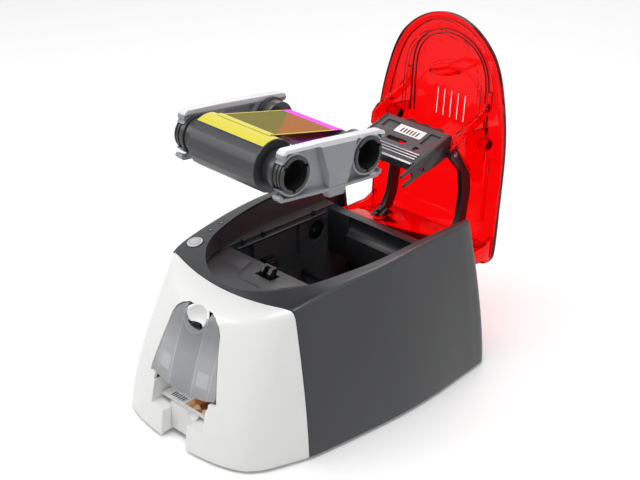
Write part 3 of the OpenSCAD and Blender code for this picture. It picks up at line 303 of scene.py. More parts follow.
def surfaced(name, group_name, make_group, relief, distance, **values):
    """Material whose colour, roughness and relief come from a node group."""
    material, tree, shader = blank_material(name)
    node = tree.nodes.new("ShaderNodeGroup")
    node.node_tree = bpy.data.node_groups.get(group_name) or make_group()
    for key, value in values.items():
        node.inputs[key].default_value = value
    feed(tree, (shader.inputs["Base Color"], shader.inputs["Roughness"]), node.outputs[:2])
    bump = add_node(tree, "ShaderNodeBump", in_Strength=relief, in_Distance=distance)
    tree.links.new(node.outputs["Height"], bump.inputs["Height"])
    tree.links.new(bump.outputs["Normal"], shader.inputs["Normal"])
    return material, shader


@once
def moulded(name, colour, rough=0.4, tone=0.05, grain=2200.0, relief=0.25, coat=0.0):
    """Moulded plastic or rubber."""
    material, shader = surfaced(name, "moulded surface", moulded_group, relief, 0.00005,
                                Colour=colour, Tone=tone, Grain=grain, Rough=rough)
    shader.inputs["Coat Weight"].default_value = coat
    shader.inputs["Coat Roughness"].default_value = 0.08
    return material


@once
def metal(name, colour, rough=0.28):
    material, shader = surfaced(name, "turned metal", brushed_group, 0.15, 0.00002,
                                Colour=colour, Rough=rough)
    shader.inputs["Metallic"].default_value = 1.0
    return material


@once
def clear(name, colour, rough=0.03, ior=1.3, shadow=(0.9, 0.5, 0.5, 1), cloud=0.04, dark=None, rim=None,
          share=1.0, fade=None):
    """Clear tinted plastic, with painted shade at its edges and below a height, and light passing through its
    shadow.
    """
    material, tree, shader = blank_material(name)
    where, parts = object_place(tree)
    noise = noise_at(tree, where, in_Scale=18.0, in_Detail=2.0)
    deeper = dark or tuple(c * (1 - cloud * 3) for c in colour[:3]) + (1,)
    tone = noise
    # Painted shade: below a height the colour turns towards the deeper tint.
    if fade:
        high, low = fade
        painted_height_shade = times(tree, minus(tree, high, parts["Z"]), 1 / (high - low), clamp=True)
        tone = plus(tree, times(tree, tone, 0.3), times(tree, painted_height_shade, 0.7))
    base = mixed(tree, tone, colour, deeper)
    # Painted shade: the colour turns to the rim colour where the surface is seen edge-on.
    if rim:
        facing = add_node(tree, "ShaderNodeLayerWeight", in_Blend=0.5)
        base = mixed(tree, ramp(tree, facing.outputs["Facing"], [(0.62, 0.0), (0.9, 1.0)]), base, rim)
    tree.links.new(base, shader.inputs["Base Color"])
    uneven_rough(tree, shader, noise, cloud, rough)
    shader.inputs["Transmission Weight"].default_value = share
    shader.inputs["IOR"].default_value = ior
    ray = tree.nodes.new("ShaderNodeLightPath")
    thin = add_node(tree, "ShaderNodeBsdfTransparent", in_Color=shadow)
    shaders_mixed(tree, ray.outputs["Is Shadow Ray"], shader, thin)
    return material


def casing_finish():
    return moulded("casing satin", colours().casing, 0.36, 0.03, 1500.0, 0.2, coat=0.15)


def bezel_finish():
    return moulded("bezel gloss", colours().bezel, 0.22, 0.01, 900.0, 0.05, coat=0.4)


def inner_finish():
    return moulded("inner moulding", colours().inner, 0.38, 0.05, 1800.0, 0.2)


def black_finish():
    return moulded("black moulding", colours().black, 0.34, 0.06, 1800.0, 0.2)


def steel_finish():
    return metal("plain steel", tint("#b9bbbe"))


# ---------------------------------------------------------------- mesh tools


def deselect():
    if bpy.context.mode != "OBJECT":
        bpy.ops.object.mode_set(mode="OBJECT")
    bpy.ops.object.select_all(action="DESELECT")


def select_only(piece):
    deselect()
    piece.select_set(True)
    bpy.context.view_layer.objects.active = piece


def settle(piece):
    """Puts a piece's place, turn and size into its mesh."""
    select_only(piece)
    bpy.ops.object.transform_apply(location=True, rotation=True, scale=True)


def named(name):
    """The piece that was just added, with its name and its place put into its mesh."""
    piece = bpy.context.object
    piece.name = name
    settle(piece)
    return piece


def edit_all(piece):
    select_only(piece)
    bpy.ops.object.mode_set(mode="EDIT")
    bpy.ops.mesh.select_all(action="SELECT")


def modified(piece, kind, **settings):
    """Adds a modifier and applies it."""
    modifier = piece.modifiers.new(kind.lower(), kind)
    for key, value in settings.items():
        setattr(modifier, key, value)
    select_only(piece)
    bpy.ops.object.modifier_apply(modifier=modifier.name)


def smooth(piece, angle=40.0):
    select_only(piece)
    bpy.ops.object.shade_smooth_by_angle(angle=math.radians(angle))


def finish_piece(piece, body, material, replaced=()):
    """Gives a piece its material, its body and the nodes that it stands for."""
    piece.data.materials.clear()
    piece.data.materials.append(material)
    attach(piece, body)
    if replaced:
        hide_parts(*replaced)
    return piece


def mesh_piece(name, points, edges, faces):
    mesh = bpy.data.meshes.new(name)
    mesh.from_pydata([tuple(p) for p in points], edges, faces)
    piece = bpy.data.objects.new(name, mesh)
    bpy.context.collection.objects.link(piece)
    return piece


def outward(piece):
    """Welds a mesh and turns all its faces outwards."""
    edit_all(piece)
    bpy.ops.mesh.remove_doubles(threshold=1e-6)
    bpy.ops.mesh.normals_make_consistent(inside=False)
    bpy.ops.object.mode_set(mode="OBJECT")


def loft_piece(name, rings, end=True):
    """Skin through rings of equal count, closed at its start and, if asked, at its end."""
    count, last = len(rings[0]), len(rings) - 1
    around = [(i, (i + 1) % count) for i in range(count)]
    faces = [(k * count + i, k * count + j, (k + 1) * count + j, (k + 1) * count + i)
             for k in range(last) for i, j in around]
    faces.append(tuple(range(count - 1, -1, -1)))
    if end:
        faces.append(tuple(last * count + i for i in range(count)))
    piece = mesh_piece(name, [place(*p) for ring in rings for p in ring], [], faces)
    piece.data.validate()
    outward(piece)
    return piece


def prism(name, outline, low, high, axis="z"):
    """Closed prism of a flat outline; the outline's plane is given by the axis it runs along."""
    order = {"x": (2, 0, 1), "y": (0, 2, 1), "z": (0, 1, 2)}[axis]
    return loft_piece(name, [[[(*p, level)[i] for i in order] for p in outline] for level in (low, high)])


def box_outline(x0, x1, y0, y1):
    return [(x0, y0), (x1, y0), (x1, y1), (x0, y1)]


def block(name, x0, x1, y0, y1, z0, z1):
    """Box between two corners in millimetres, added as a cube and sized in its mesh."""
    deselect()
    bpy.ops.mesh.primitive_cube_add(size=1, location=place((x0 + x1) / 2, (y0 + y1) / 2, (z0 + z1) / 2))
    bpy.context.object.scale = ((x1 - x0) * MM, (y1 - y0) * MM, (z1 - z0) * MM)
    return named(name)


def cylinder(name, radius, depth, middle, turn, sides):
    deselect()
    bpy.ops.mesh.primitive_cylinder_add(
        vertices=sides, radius=radius * MM, depth=depth * MM, location=place(*middle), rotation=turn)
    return named(name)


def rod_x(name, x0, x1, radius, y, z, sides=48):
    """Rod along X."""
    return cylinder(name, radius, x1 - x0, ((x0 + x1) / 2, y, z), (0, math.pi / 2, 0), sides)


def tilted_rod(name, radius, depth, x, y, z, slope, sides=48):
    """Upright rod leaning forward by a slope, its middle at the given place."""
    return cylinder(name, radius, depth, (x, y, z), (slope, 0, 0), sides)


def sided(side, near_end, far_end):
    """Two distances from the middle plane as places on one side of it, the lesser first."""
    return sorted((side * near_end, side * far_end))


def bevel(piece, width, segments=2, angle=30.0):
    """Rounds the sharp edges of a piece by a width in millimetres."""
    modified(piece, "BEVEL", width=width * MM, segments=segments, limit_method="ANGLE",
             angle_limit=math.radians(angle), use_clamp_overlap=True, harden_normals=False)


def softened(piece, width, edge_angle, face_angle=40.0, segments=2):
    """Rounds a piece's sharp edges and shades its shallow ones smooth."""
    bevel(piece, width, segments, edge_angle)
    smooth(piece, face_angle)


def carve(piece, *cutters, operation="DIFFERENCE"):
    """Cuts by, or keeps to, the shape of each cutter, which is then deleted."""
    for cutter in cutters:
        modified(piece, "BOOLEAN", operation=operation, solver="EXACT", object=cutter)
        bpy.data.objects.remove(cutter)
    return piece


def joined(name, *parts):
    """One piece made of several closed meshes."""
    deselect()
    for part in parts:
        part.select_set(True)
    bpy.context.view_layer.objects.active = parts[0]
    bpy.ops.object.join()
    piece = bpy.context.object
    piece.name = name
    return piece


def copy_of(node, name):
    """Welded copy of a CAD node's mesh."""
    source = frame["nodes"][node]
    piece = bpy.data.objects.new(name, source.data.copy())
    bpy.context.collection.objects.link(piece)
    edit_all(piece)
    bpy.ops.mesh.remove_doubles(threshold=2e-6)
    bpy.ops.mesh.dissolve_limited(angle_limit=math.radians(1.0))
    bpy.ops.object.mode_set(mode="OBJECT")
    return piece


def refined(node, name, material, width, segments=2, angle=30.0, body="printer_body"):
    """Copy of a CAD node with rounded edges, which stands for the node."""
    piece = copy_of(node, name)
    softened(piece, width, angle, segments=segments)
    return finish_piece(piece, body, material, (node,))


def open_lid(piece):
    """Turns a piece drawn with the lid closed to the lid's rest angle."""
    turn = Matrix.Translation(HINGE) @ Matrix.Rotation(-LID_TURN, 4, "X") @ Matrix.Translation(-HINGE)
    piece.data.transform(turn)
    return piece


# ---------------------------------------------------------------- body form

BODY_WIDTH = 206.0
CASING_LENGTH = 222.0
BEZEL_REACH = 64.5
RIM_HEIGHT = 142.0
FLOOR = 3.0
DECK = 117.0
LEAN = 1.5
# Outlines as shares of half width and bezel reach, then of half width and casing length
FRONT_BASE = [(0, -1), (0.146, -0.991), (0.335, -0.961), (0.511, -0.907), (0.64, -0.83),
              (0.714, -0.753), (0.772, -0.636), (0.811, -0.515), (0.866, -0.253), (0.916, 0.016)]
FRONT_TOP = [(0, -0.512), (0.117, -0.502), (0.243, -0.465), (0.369, -0.395), (0.476, -0.295),
             (0.544, -0.217), (0.602, -0.132), (0.646, -0.062), (0.684, 0), (0.721, 0.074)]
REAR_BASE = [(0.965, 0.203), (1, 0.485), (0.985, 0.676), (0.949, 0.83), (0.926, 0.93),
             (0.9, 0.99), (0.83, 1.008), (0.45, 1.018), (0, 1.022)]
REAR_TOP = [(0.773, 0.176), (0.832, 0.45), (0.814, 0.676), (0.8, 0.83), (0.79, 0.9),
            (0.765, 0.938), (0.7, 0.948), (0.4, 0.953), (0, 0.955)]
TOP_LINE = [(-60, -38), (-33, -27), (-6.7, -16.3), (4.8, -11.8), (20, -8.2), (39, -5.4),
            (70, -2.7), (100, -1.1), (135, 0.4), (170, 0.5), (240, -0.4)]
# Height and depth that lie beyond every piece
HIGH = 200
FAR_BACK = 300
OUTLINE_STEPS = 6
WALL_RINGS = 22
CORNER_STEPS = 6
# Shares of the outline for the rings that cross the top to its middle
CROWN_SHARES = (0.9, 0.78, 0.64, 0.5, 0.36, 0.22, 0.1, 0.0)


def lookup(value, table):
    """Straight-line value of a table at a place, held level beyond its ends."""
    if value <= table[0][0]:
        return table[0][1]
    for (x0, y0), (x1, y1) in zip(table, table[1:]):
        if value <= x1:
            return y0 + (y1 - y0) * (value - x0) / (x1 - x0)
    return table[-1][1]


def spline(a, b, c, d, t):
    """Point on a smooth curve through four control points, eased where they are unevenly spaced."""
    knots = [0.0]
    for p, q in ((a, b), (b, c), (c, d)):
        knots.append(knots[-1] + max(math.dist(p, q), 1e-6) ** 0.5)
    at = knots[1] + (knots[2] - knots[1]) * t

    def between(p, q, low, high):
        share = (at - low) / (high - low)
        return tuple(m + (n - m) * share for m, n in zip(p, q))

    ends = [between(p, q, knots[i], knots[i + 1]) for i, (p, q) in enumerate(((a, b), (b, c), (c, d)))]
    first = between(ends[0], ends[1], knots[0], knots[2])
    second = between(ends[1], ends[2], knots[1], knots[3])
    return between(first, second, knots[1], knots[2])


def smooth_line(points, before, after, steps):
    """Smooth curve through points, steered at its ends by one more point beyond each."""
    line = [before, *points, after]
    made = [spline(*line[i:i + 4], k / steps) for i in range(len(points) - 1) for k in range(steps)]
    return made + [points[-1]]


def smooth_half(points, steps, open_end=False):
    """Smooth curve through a half outline; its first end, and last if closed, lie on the middle plane."""
    (x, y), (u, v) = points[1], points[-2]
    after = (2 * points[-1][0] - u, 2 * points[-1][1] - v) if open_end else (-u, v)
    return smooth_line(points, (-x, y), after, steps)


def smooth_profile(points, steps):
    """Smooth curve through a profile, with its first stretch kept straight."""
    return [points[0]] + smooth_line(points[1:], points[0], points[-1], steps)


def both_halves(half):
    """Closed outline of a half whose two ends lie on the middle plane."""
    return half + [(-x, y) for x, y in half[-2:0:-1]]


def body_outline(front, rear):
    """Whole outline of the body, seen from above."""
    half = BODY_WIDTH / 2
    ahead = [(x * half, y * BEZEL_REACH) for x, y in front]
    behind = [(x * half, y * CASING_LENGTH) for x, y in rear]
    return both_halves(smooth_half(ahead + behind, OUTLINE_STEPS))


def open_outline(half, steps=5):
    """Outline mirrored from a smooth half that starts on the middle plane and ends on the rear edge."""
    line = smooth_half(half, steps, open_end=True)
    return line + [(-x, y) for x, y in line[:0:-1]]


def offset_line(line, distance, closed=False):
    """An outline's points moved inwards, or an open line's to one side."""
    last = len(line) - 1
    made = []
    for i, (x, y) in enumerate(line):
        p = line[i - 1] if i or closed else line[0]
        q = line[i + 1] if i < last else line[0 if closed else last]
        size = math.dist(p, q)
        made.append((x - distance * (q[1] - p[1]) / size, y + distance * (q[0] - p[0]) / size))
    return made


def inset(ring, distance):
    return offset_line(ring, distance, closed=True)


def top_height(y):
    """Height of the top surface at a distance behind the seam, with the corners of its line eased."""
    reach = 6.0
    return RIM_HEIGHT + sum(lookup(y + k * reach / 2, TOP_LINE) for k in (-2, -1, 0, 1, 2)) / 5


BASE_RING = body_outline(FRONT_BASE, REAR_BASE)
TOP_RING = body_outline(FRONT_TOP, REAR_TOP)


def wall_ring(share, distance, floor):
    """Ring of the leaning wall at a share of its height, as (x, y, z) in millimetres from the seam."""
    base, top = inset(BASE_RING, distance), inset(TOP_RING, distance)
    lean = share ** LEAN
    return [(b[0] * (1 - lean) + t[0] * lean, b[1] * (1 - lean) + t[1] * lean,
             floor + share * (top_height(o[1]) - distance - floor))
            for b, t, o in zip(base, top, TOP_RING)]


def body_rings(distance, floor, rounding):
    """Rings up the wall, round its top edge and across the top to the middle plane."""
    rings = [wall_ring(k / WALL_RINGS, distance, floor) for k in range(WALL_RINGS)]
    corner = wall_ring(1.0, distance, floor)
    start = rounding / (RIM_HEIGHT - floor)
    while (len(rings) - 1) / WALL_RINGS > 1 - start:
        rings.pop()
    low = wall_ring(1 - start, distance, floor)
    flat = inset([(p[0], p[1]) for p in corner], rounding)
    high = [(x, y, top_height(y) - distance) for x, y in flat]
    for k in range(CORNER_STEPS + 1):
        s = k / CORNER_STEPS
        rings.append([tuple(a * (1 - s) ** 2 + 2 * b * s * (1 - s) + c * s * s for a, b, c in zip(p, q, r))
                      for p, q, r in zip(low, corner, high)])
    for share in CROWN_SHARES:
        rings.append([(x * share, y, top_height(y) - distance) for x, y in flat])
    return rings


def body_solid(name, distance, floor, rounding):
    """Solid of the body's form, set in by a distance, from a floor height upwards."""
    return loft_piece(name, body_rings(distance, floor, rounding), end=False)


# Seam between bezel and casing, seen from above
SEAM_FRONT = -6.7
SEAM_CORNER = (74.3, 4.8)
SEAM_FALL = 0.19
FAR_SIDE = 120


def seam_line(x):
    if abs(x) < SEAM_CORNER[0]:
        return SEAM_FRONT + (SEAM_CORNER[1] - SEAM_FRONT) * (x / SEAM_CORNER[0]) ** 2
    return SEAM_CORNER[1] - (abs(x) - SEAM_CORNER[0]) * SEAM_FALL


def seam_prism(name, gap, back):
    """Everything behind the seam, or ahead of it, moved away from it by half the gap."""
    line = [(x, seam_line(x) + (gap if back else -gap)) for x in range(-FAR_SIDE, FAR_SIDE + 1, 4)]
    far = FAR_BACK if back else -FAR_SIDE
    outline = line + [(FAR_SIDE, far), (-FAR_SIDE, far)]
    return prism(name, outline if back else outline[::-1], -10, HIGH)


OPENING_HALF = [(0, -2.9), (13, -1.4), (26, 2.8), (38, 9.5), (48, 18), (55, 26.5), (62, 40),
                (67, 56), (71.5, 75), (74.5, 95), (76, 115), (76, 160), (76, 211)]


# ---------------------------------------------------------------- casing and bezel

BUTTON_PLACE = (-65.7, 21.0)
BUTTON_RADIUS = 7.3
BUTTON_SLOPE = math.radians(13)
RING_PLACES = [(-70.6, 42.6), (-72.5, 56.7)]
RING_SLOPE = math.radians(5)
RING_RADIUS = 2.1
RUN_GAP = 0.3
BACK_CUT = 86.0
# Half width, foot and top of the rear window
REAR_WINDOW = (56.0, 18.0, 66.0)
OPENING_WIDE = 76.0


class PRINTER_OT_casing(bpy.types.Operator):
    """Build the rear casing with its rounded rim, lid opening and rear window"""

    bl_idname = "printer.casing"
    bl_label = "Casing"

    def execute(self, context):
        wall = sizes().wall / MM
        shell = body_solid("casing_shell", 0.0, FLOOR, sizes().rim_round / MM)
        carve(shell, seam_prism("behind", sizes().seam_gap / MM / 2, True), operation="INTERSECT")
        carve(
            shell,
            body_solid("inside", wall, FLOOR - 2, 2.0),
            prism("lid opening", open_outline(OPENING_HALF), DECK - 4, HIGH),
            block("back way", -OPENING_WIDE, OPENING_WIDE, 206, FAR_BACK, BACK_CUT, HIGH),
            block("rear window", -REAR_WINDOW[0], REAR_WINDOW[0], 200, FAR_BACK, *REAR_WINDOW[1:]),
            tilted_rod("button hole", BUTTON_RADIUS + RUN_GAP, 20, *BUTTON_PLACE,
                       top_height(BUTTON_PLACE[1]), BUTTON_SLOPE),
            *[tilted_rod("ring hole", RING_RADIUS + 0.1, 6, x, y, top_height(y) + 1.4, RING_SLOPE, 24)
              for x, y in RING_PLACES])
        smooth(shell, 32.0)
        finish_piece(shell, "printer_body", casing_finish(), ("main_casing",))
        return {"FINISHED"}


WINDOW = [(-41.5, 50), (-34, 50), (-34, 44), (34, 44), (34, 50), (41.5, 50), (40.5, 56), (31, 97),
          (29.5, 104), (26, 110), (20, 114.5), (14, 116.5), (-14, 116.5), (-20, 114.5), (-26, 110),
          (-29.5, 104), (-31, 97), (-40.5, 56)]
EXIT_HALF = 32.5
EXIT_LOW = 25.0
NOTCH_HALF = 15.5
# Small step that keeps the faces of joined walls apart
STEP = 0.15
# Feeder cover's pivot, as (y, z), and the ball that shapes the finger pocket
PIVOT = (-41.0, 60.0)
POCKET = (0.0, -40.0, 113.0)
POCKET_RADIUS = 13.5
# Span of what cuts the bezel from front to back
FRONT_CUT = (-120, -20)
# Reach and height of the cover's pin lugs and ears, round their pin
LUG = 3.0


def pocket_ball(name, radius):
    deselect()
    bpy.ops.mesh.primitive_uv_sphere_add(
        segments=64, ring_count=32, radius=radius * MM, location=place(*POCKET), rotation=(0, math.pi / 2, 0))
    return named(name)


def within_form(piece, distance, rounding):
    """Keeps the part of a piece that lies inside the body's form."""
    return carve(piece, body_solid("form", distance, FLOOR, rounding), operation="INTERSECT")


class PRINTER_OT_bezel(bpy.types.Operator):
    """Build the gloss front bezel with its window, card exit, thumb notch and finger scoop"""

    bl_idname = "printer.bezel"
    bl_label = "Front bezel"

    def execute(self, context):
        wall = sizes().wall / MM
        rounding = sizes().bezel_round / MM
        shell = body_solid("bezel_shell", 0.0, FLOOR, rounding)
        carve(shell, seam_prism("ahead", sizes().seam_gap / MM / 2, False), operation="INTERSECT")
        carve(
            shell,
            body_solid("inside", wall, FLOOR - 2, rounding - 1),
            prism("window", WINDOW, *FRONT_CUT, "y"),
            prism("card exit", box_outline(-EXIT_HALF, EXIT_HALF, EXIT_LOW, 46), *FRONT_CUT, "y"),
            prism("thumb notch", box_outline(-NOTCH_HALF, NOTCH_HALF, 0, EXIT_LOW + 1), *FRONT_CUT, "y"))
        parts = []
        for side in (-1, 1):
            jamb = sided(side, EXIT_HALF + STEP, EXIT_HALF + 2)
            notch = sided(side, NOTCH_HALF + STEP, NOTCH_HALF + 2)
            ledge = sided(side, NOTCH_HALF + 2 * STEP, EXIT_HALF + 1.8)
            parts += [block("jamb", *jamb, -70, -28, FLOOR + 4, 44.4),
                      block("notch wall", *notch, -70, -40, FLOOR + 1, EXIT_LOW - 2 * STEP),
                      block("exit floor", *ledge, -70, -40, EXIT_LOW - 2, EXIT_LOW - STEP),
                      block("pin lug", *sided(side, 40.4, 43.0), -53, -38.4, PIVOT[1] - LUG, PIVOT[1] + LUG)]
        walls = [within_form(part, 0.3, rounding) for part in parts]
        bowl = pocket_ball("scoop", POCKET_RADIUS + 2)
        carve(bowl, pocket_ball("hollow", POCKET_RADIUS), block("below", -30, 30, -80, 20, 60, 103),
              block("ahead", -30, 30, -80, -34, 60, 160))
        within_form(bowl, 0.6, rounding)
        carve(shell, pocket_ball("hollow", POCKET_RADIUS))
        shell = joined("bezel_shell", shell, bowl, *walls)
        softened(shell, 0.5, 50.0, 32.0)
        finish_piece(shell, "printer_body", bezel_finish(), ("front_bezel",))
        return {"FINISHED"}


class PRINTER_OT_tray(bpy.types.Operator):
    """Build the output tray and the printed card that lies on it"""

    bl_idname = "printer.tray"
    bl_label = "Tray and card"

    def execute(self, context):
        tray = moulded("tray gloss", tint("#e9e9e7"), rough=0.3, tone=0.02, relief=0.05, coat=0.2)
        refined("output_tray", "tray_moulding", tray, 0.6)
        refined("printed_card", "printed_card_face", card_finish(), 0.12)
        return {"FINISHED"}


def card_finish():
    """White card with dark bars on one side and a picture of plain shapes on the other."""
    material, tree, shader = blank_material("printed card")
    shift = add_node(tree, "ShaderNodeMapping", in_Location=(0, -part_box("printed_card")[0][1], 0))
    where, split = object_place(tree)
    tree.links.new(where, shift.inputs["Vector"])
    tree.links.new(shift.outputs["Vector"], split["X"].node.inputs[0])
    x, y = split["X"], split["Y"]
    bars = striped(tree, x, 2.6, 0.45)
    rows = striped(tree, y, 9, 0.25)
    field = times(tree, within(tree, x, -0.023, -0.006), within(tree, y, 0.003, 0.030))
    ink = times(tree, times(tree, field, bars), rows)
    picture = times(tree, within(tree, x, -0.003, 0.023), within(tree, y, 0.002, 0.046))
    shapes = add_node(tree, "ShaderNodeTexVoronoi", in_Scale=95.0, in_Randomness=0.8)
    tree.links.new(shift.outputs["Vector"], shapes.inputs["Vector"])
    art = ramp(tree, shapes.outputs["Color"], [(0.0, tint("#16181c")), (0.38, tint("#c47a3a")),
                                               (0.62, tint("#e8b98a")), (1.0, tint("#f0ece6"))])
    base = mixed(tree, ink, tint("#f4f4f2"), tint("#2c2d30"))
    tree.links.new(mixed(tree, picture, base, art), shader.inputs["Base Color"])
    uneven_rough(tree, shader, noise_at(tree, where, in_Scale=60.0), 0.1, 0.15)
    return material


COVER_HALF = [(0, 49), (15, 49.6), (30, 51.2), (38.4, 53.2), (39.4, 57), (30.2, 97), (28.7, 103.6),
              (25.3, 109.3), (19.7, 113.7), (14.2, 115.6), (14, 108), (11, 103.5), (6, 100.6), (0, 99.8)]
COVER = both_halves(COVER_HALF)
# Distances of the cover's inner ribs from its middle
RIB_PLACES = (13.0, 31.0)


def smoke_finish():
    """Clear grey glazing, with painted light that makes it paler in its outer columns and at its lower
    corners, painted highlights along its ribs, and painted shade towards its bottom and top.
    """
    material = clear("clear smoke", colours().smoke, rough=0.1, shadow=(0.8, 0.8, 0.81, 1), cloud=0.05,
                     share=0.5)
    tree = material.node_tree
    parts = object_place(tree)[1]
    across = times(tree, size_of(tree, parts["X"]), 1 / MM)
    up = times(tree, parts["Z"], 1 / MM)
    reach = length_of(tree, across, minus(tree, up, POCKET[2]))
    # Painted light: paler outer columns and lower corners.
    pale = most(tree, times(tree, more(tree, across, 13.0), 0.4),
                times(tree, within(tree, across, 17.0, 29.0), within(tree, up, 60.0, 72.0)))
    # Painted highlights: thin pale lines along the ribs and round the pocket's rim.
    for value, middle in ((across, 13.5), (across, 31.5), (reach, 15.2)):
        pale = most(tree, pale, near(tree, value, middle, 0.55))
    # Painted shade: darker towards the bottom and the top of the cover.
    painted_height_shade = ramp(tree, times(tree, up, 0.01), [(0.5, 0.25), (0.62, 0.0), (0.8, 0.0), (1.1, 0.35)])
    base = mixed(tree, pale, colours().smoke, tint("#e2e2e3"))
    base = mixed(tree, painted_height_shade, base, tint("#6a6b6d"))
    tree.links.new(base, tree.nodes["Principled BSDF"].inputs["Base Color"])
    return material


class PRINTER_OT_feeder_cover(bpy.types.Operator):
    """Build the clear feeder cover with its inner ribs, rim and hinge ears"""

    bl_idname = "printer.feeder_cover"
    bl_label = "Feeder cover"

    def execute(self, context):
        rounding = sizes().bezel_round / MM
        cover = body_solid("cover_glazing", 0.2, FLOOR, rounding)
        carve(cover, prism("cover edge", COVER, *FRONT_CUT, "y"), operation="INTERSECT")
        carve(cover, body_solid("inside", 2.2, FLOOR - 2, rounding - 1))
        parts = [block("rib", *sided(side, x, x + 1.0), -62, -20, 53, 96)
                 for side in (-1, 1) for x in RIB_PLACES]
        ribs = [carve(within_form(part, 1.2, rounding), body_solid("inside", 4.0, FLOOR - 2, rounding - 2))
                for part in parts]
        ears = []
        for side in (-1, 1):
            ear = block("ear", *sided(side, 34.8, 37.2), -52, PIVOT[0] + 2.6, PIVOT[1] - LUG, PIVOT[1] + LUG)
            ears.append(carve(within_form(ear, 1.2, rounding), rod_x("pin way", -45, 45, 1.56, *PIVOT)))
        lip = pocket_ball("lip", POCKET_RADIUS + 1.8)
        carve(lip, pocket_ball("hollow", POCKET_RADIUS + 0.5), block("above", -30, 30, -80, 20, 112, 160))
        within_form(lip, 0.05, rounding)
        carve(lip, body_solid("inside", 1.6, FLOOR - 2, rounding - 1))
        cover = joined("cover_glazing", cover, lip, *ribs, *ears)
        softened(cover, 0.35, 50.0, 32.0)
        finish_piece(cover, "feeder_cover", smoke_finish(), ("feeder_cover",))
        return {"FINISHED"}


# Radius past the edge of the button and the rings, to which their painted shade reaches
BEYOND = 9.0


def ringed(material, centres, low, high, colour):
    """Draws a ring of another colour, between two radii, round each centre seen from above."""
    tree = material.node_tree
    parts = object_place(tree)[1]
    centres = [place(x, y, 0) for x, y in centres]
    reaches = [length_of(tree, minus(tree, parts["X"], centre.x), minus(tree, parts["Y"], centre.y))
               for centre in centres]
    nearest = least(tree, reaches[0], reaches[-1])
    return recoloured(material, within(tree, nearest, low * MM, high * MM), colour)


class PRINTER_OT_button(bpy.types.Operator):
    """Build the power button with its dished top and the indicator rings"""

    bl_idname = "printer.button"
    bl_label = "Power button"

    def execute(self, context):
        silver = moulded("button satin", colours().button, rough=0.3, tone=0.03, relief=0.1, coat=0.3)
        ringed(silver, [BUTTON_PLACE], 4.3, 4.8, tint("#8c8d8f"))
        # Painted shade: the cap is dark from just inside its edge outwards, where it sits in its hole.
        ringed(silver, [BUTTON_PLACE], BUTTON_RADIUS - 0.55, BEYOND, tint("#2c2d2f"))
        refined("power_button", "power_button_cap", silver, 0.5, segments=3,
                body="power_button")
        rings = moulded("ring grey", tint("#a9aaac"), rough=0.35)
        # Painted shade: each ring is dark outside a small radius, where it sits in its hole.
        ringed(rings, RING_PLACES, 1.2, BEYOND, tint("#2c2d2f"))
        refined("indicator_rings", "indicator_ring_pair", rings, 0.1)
        return {"FINISHED"}


# ---------------------------------------------------------------- lid

LID_HALF = [(0, -1.7), (13, -0.2), (25.4, 4), (37, 10.7), (46.8, 19.2), (53.8, 27.6), (60.6, 41),
            (65.6, 57), (70, 76), (73, 96), (74.4, 116), (74.6, 160), (74.4, 200), (73, 208),
            (68, 213.6), (58, 215.2)]
LID_CENTRE = 128.0
# Share of the outline by height above the rim plane, from the rim's foot to the crown
LID_PROFILE = [(1, -5), (1, 0), (0.985, 2), (0.95, 3.6), (0.84, 6.4), (0.72, 8.2), (0.665, 8.9),
               (0.645, 9.9), (0.6, 10.2)]
# Half width by which a wall's thickness is turned into a share of the outline
LID_WIDE = 76.0
SKIRT_HALF = 62.0
EAR = (69.4, 73.4)
PIN = (204.2, 97.4)
SLOT_PITCH = 8
# Middle of the ribbed drum beside each arm, and where its fins stand
DRUM = (104, 135, 24)
FINS = (50, 52.6, 55.2, 57.8)


def rim_plane(y):
    return 133 + (y + 2.9) * 0.056


def lid_ring(outline, share, rise):
    ring = []
    for x, y in outline:
        along = LID_CENTRE + (y - LID_CENTRE) * share
        ring.append((x * share, along, rim_plane(along) + rise))
    return ring


def lid_solid(name, thinner, lower):
    """Solid under the lid's surface, drawn closed; a thinner and lower one hollows it."""
    rings = []
    for share, rise in smooth_profile(LID_PROFILE, 3):
        drop = lower if rise > LID_PROFILE[0][1] else 1.0
        rings.append(lid_ring(open_outline(LID_HALF), share - thinner, rise - drop if thinner else rise))
    return loft_piece(name, rings)


def lid_finish():
    # The lid's darker rim where it is seen edge-on and its darker lower part are painted shade.
    return clear("clear red", colours().lid, rough=0.03, ior=1.22, shadow=(1.0, 0.86, 0.86, 1), cloud=0.02,
                 dark=tint("#fa0305"), rim=tint("#3a0406"), fade=(0.235, 0.19))


# Side views of the closed lid's rear skirt, hinge ears, drum brackets, straps and curved horns
SKIRT_SIDE = [(197, 91), (199, 90), (199, 146), (196.8, 146)]
EAR_SIDE = [(198.2, 97.4), (202.2, 91.4), (207.2, 91.4), (210.2, 97.4), (208, 130), (208, 142.6),
            (186, 141.2), (194, 128)]
BRACKET_SIDE = [(93, 101), (97, 100), (103, 104), (142, 137), (142, 146), (92, 143.6)]
STRAP_SIDE = [(118, 139.6), (176, 142.2), (176, 143.2), (118, 140.6)]
HORN_SIDE = [(58, 139), (66, 140), (76, 131), (84, 117), (91, 103), (98, 97.5), (108, 97.5),
             (111, 101), (104, 103), (98, 106), (92, 119), (84, 133), (75, 143), (60, 143)]
# Half of the arch-shaped rib under the lid, from its tip back along its straight side
ARCH_HALF = [(0, 14), (13, 15.6), (25, 20.5), (35, 28.5), (41.5, 39), (44.6, 52), (45.4, 75), (45.6, 100)]


def surface_rib(line, width, depth):
    """Thin rib that hangs from the underside of the closed lid along a line seen from above."""
    wall = sizes().lid_wall / MM
    rib = prism("rib", line + offset_line(line, width)[::-1], 100, 190)
    carve(rib, lid_solid("form", wall / LID_WIDE, wall - 0.2), operation="INTERSECT")
    return carve(rib, lid_solid("below", wall / LID_WIDE + 0.012, wall + depth))


def mirrored_line(points, steps=5):
    half = smooth_half(points, steps, open_end=True)
    return [(-x, y) for x, y in half[:0:-1]] + half


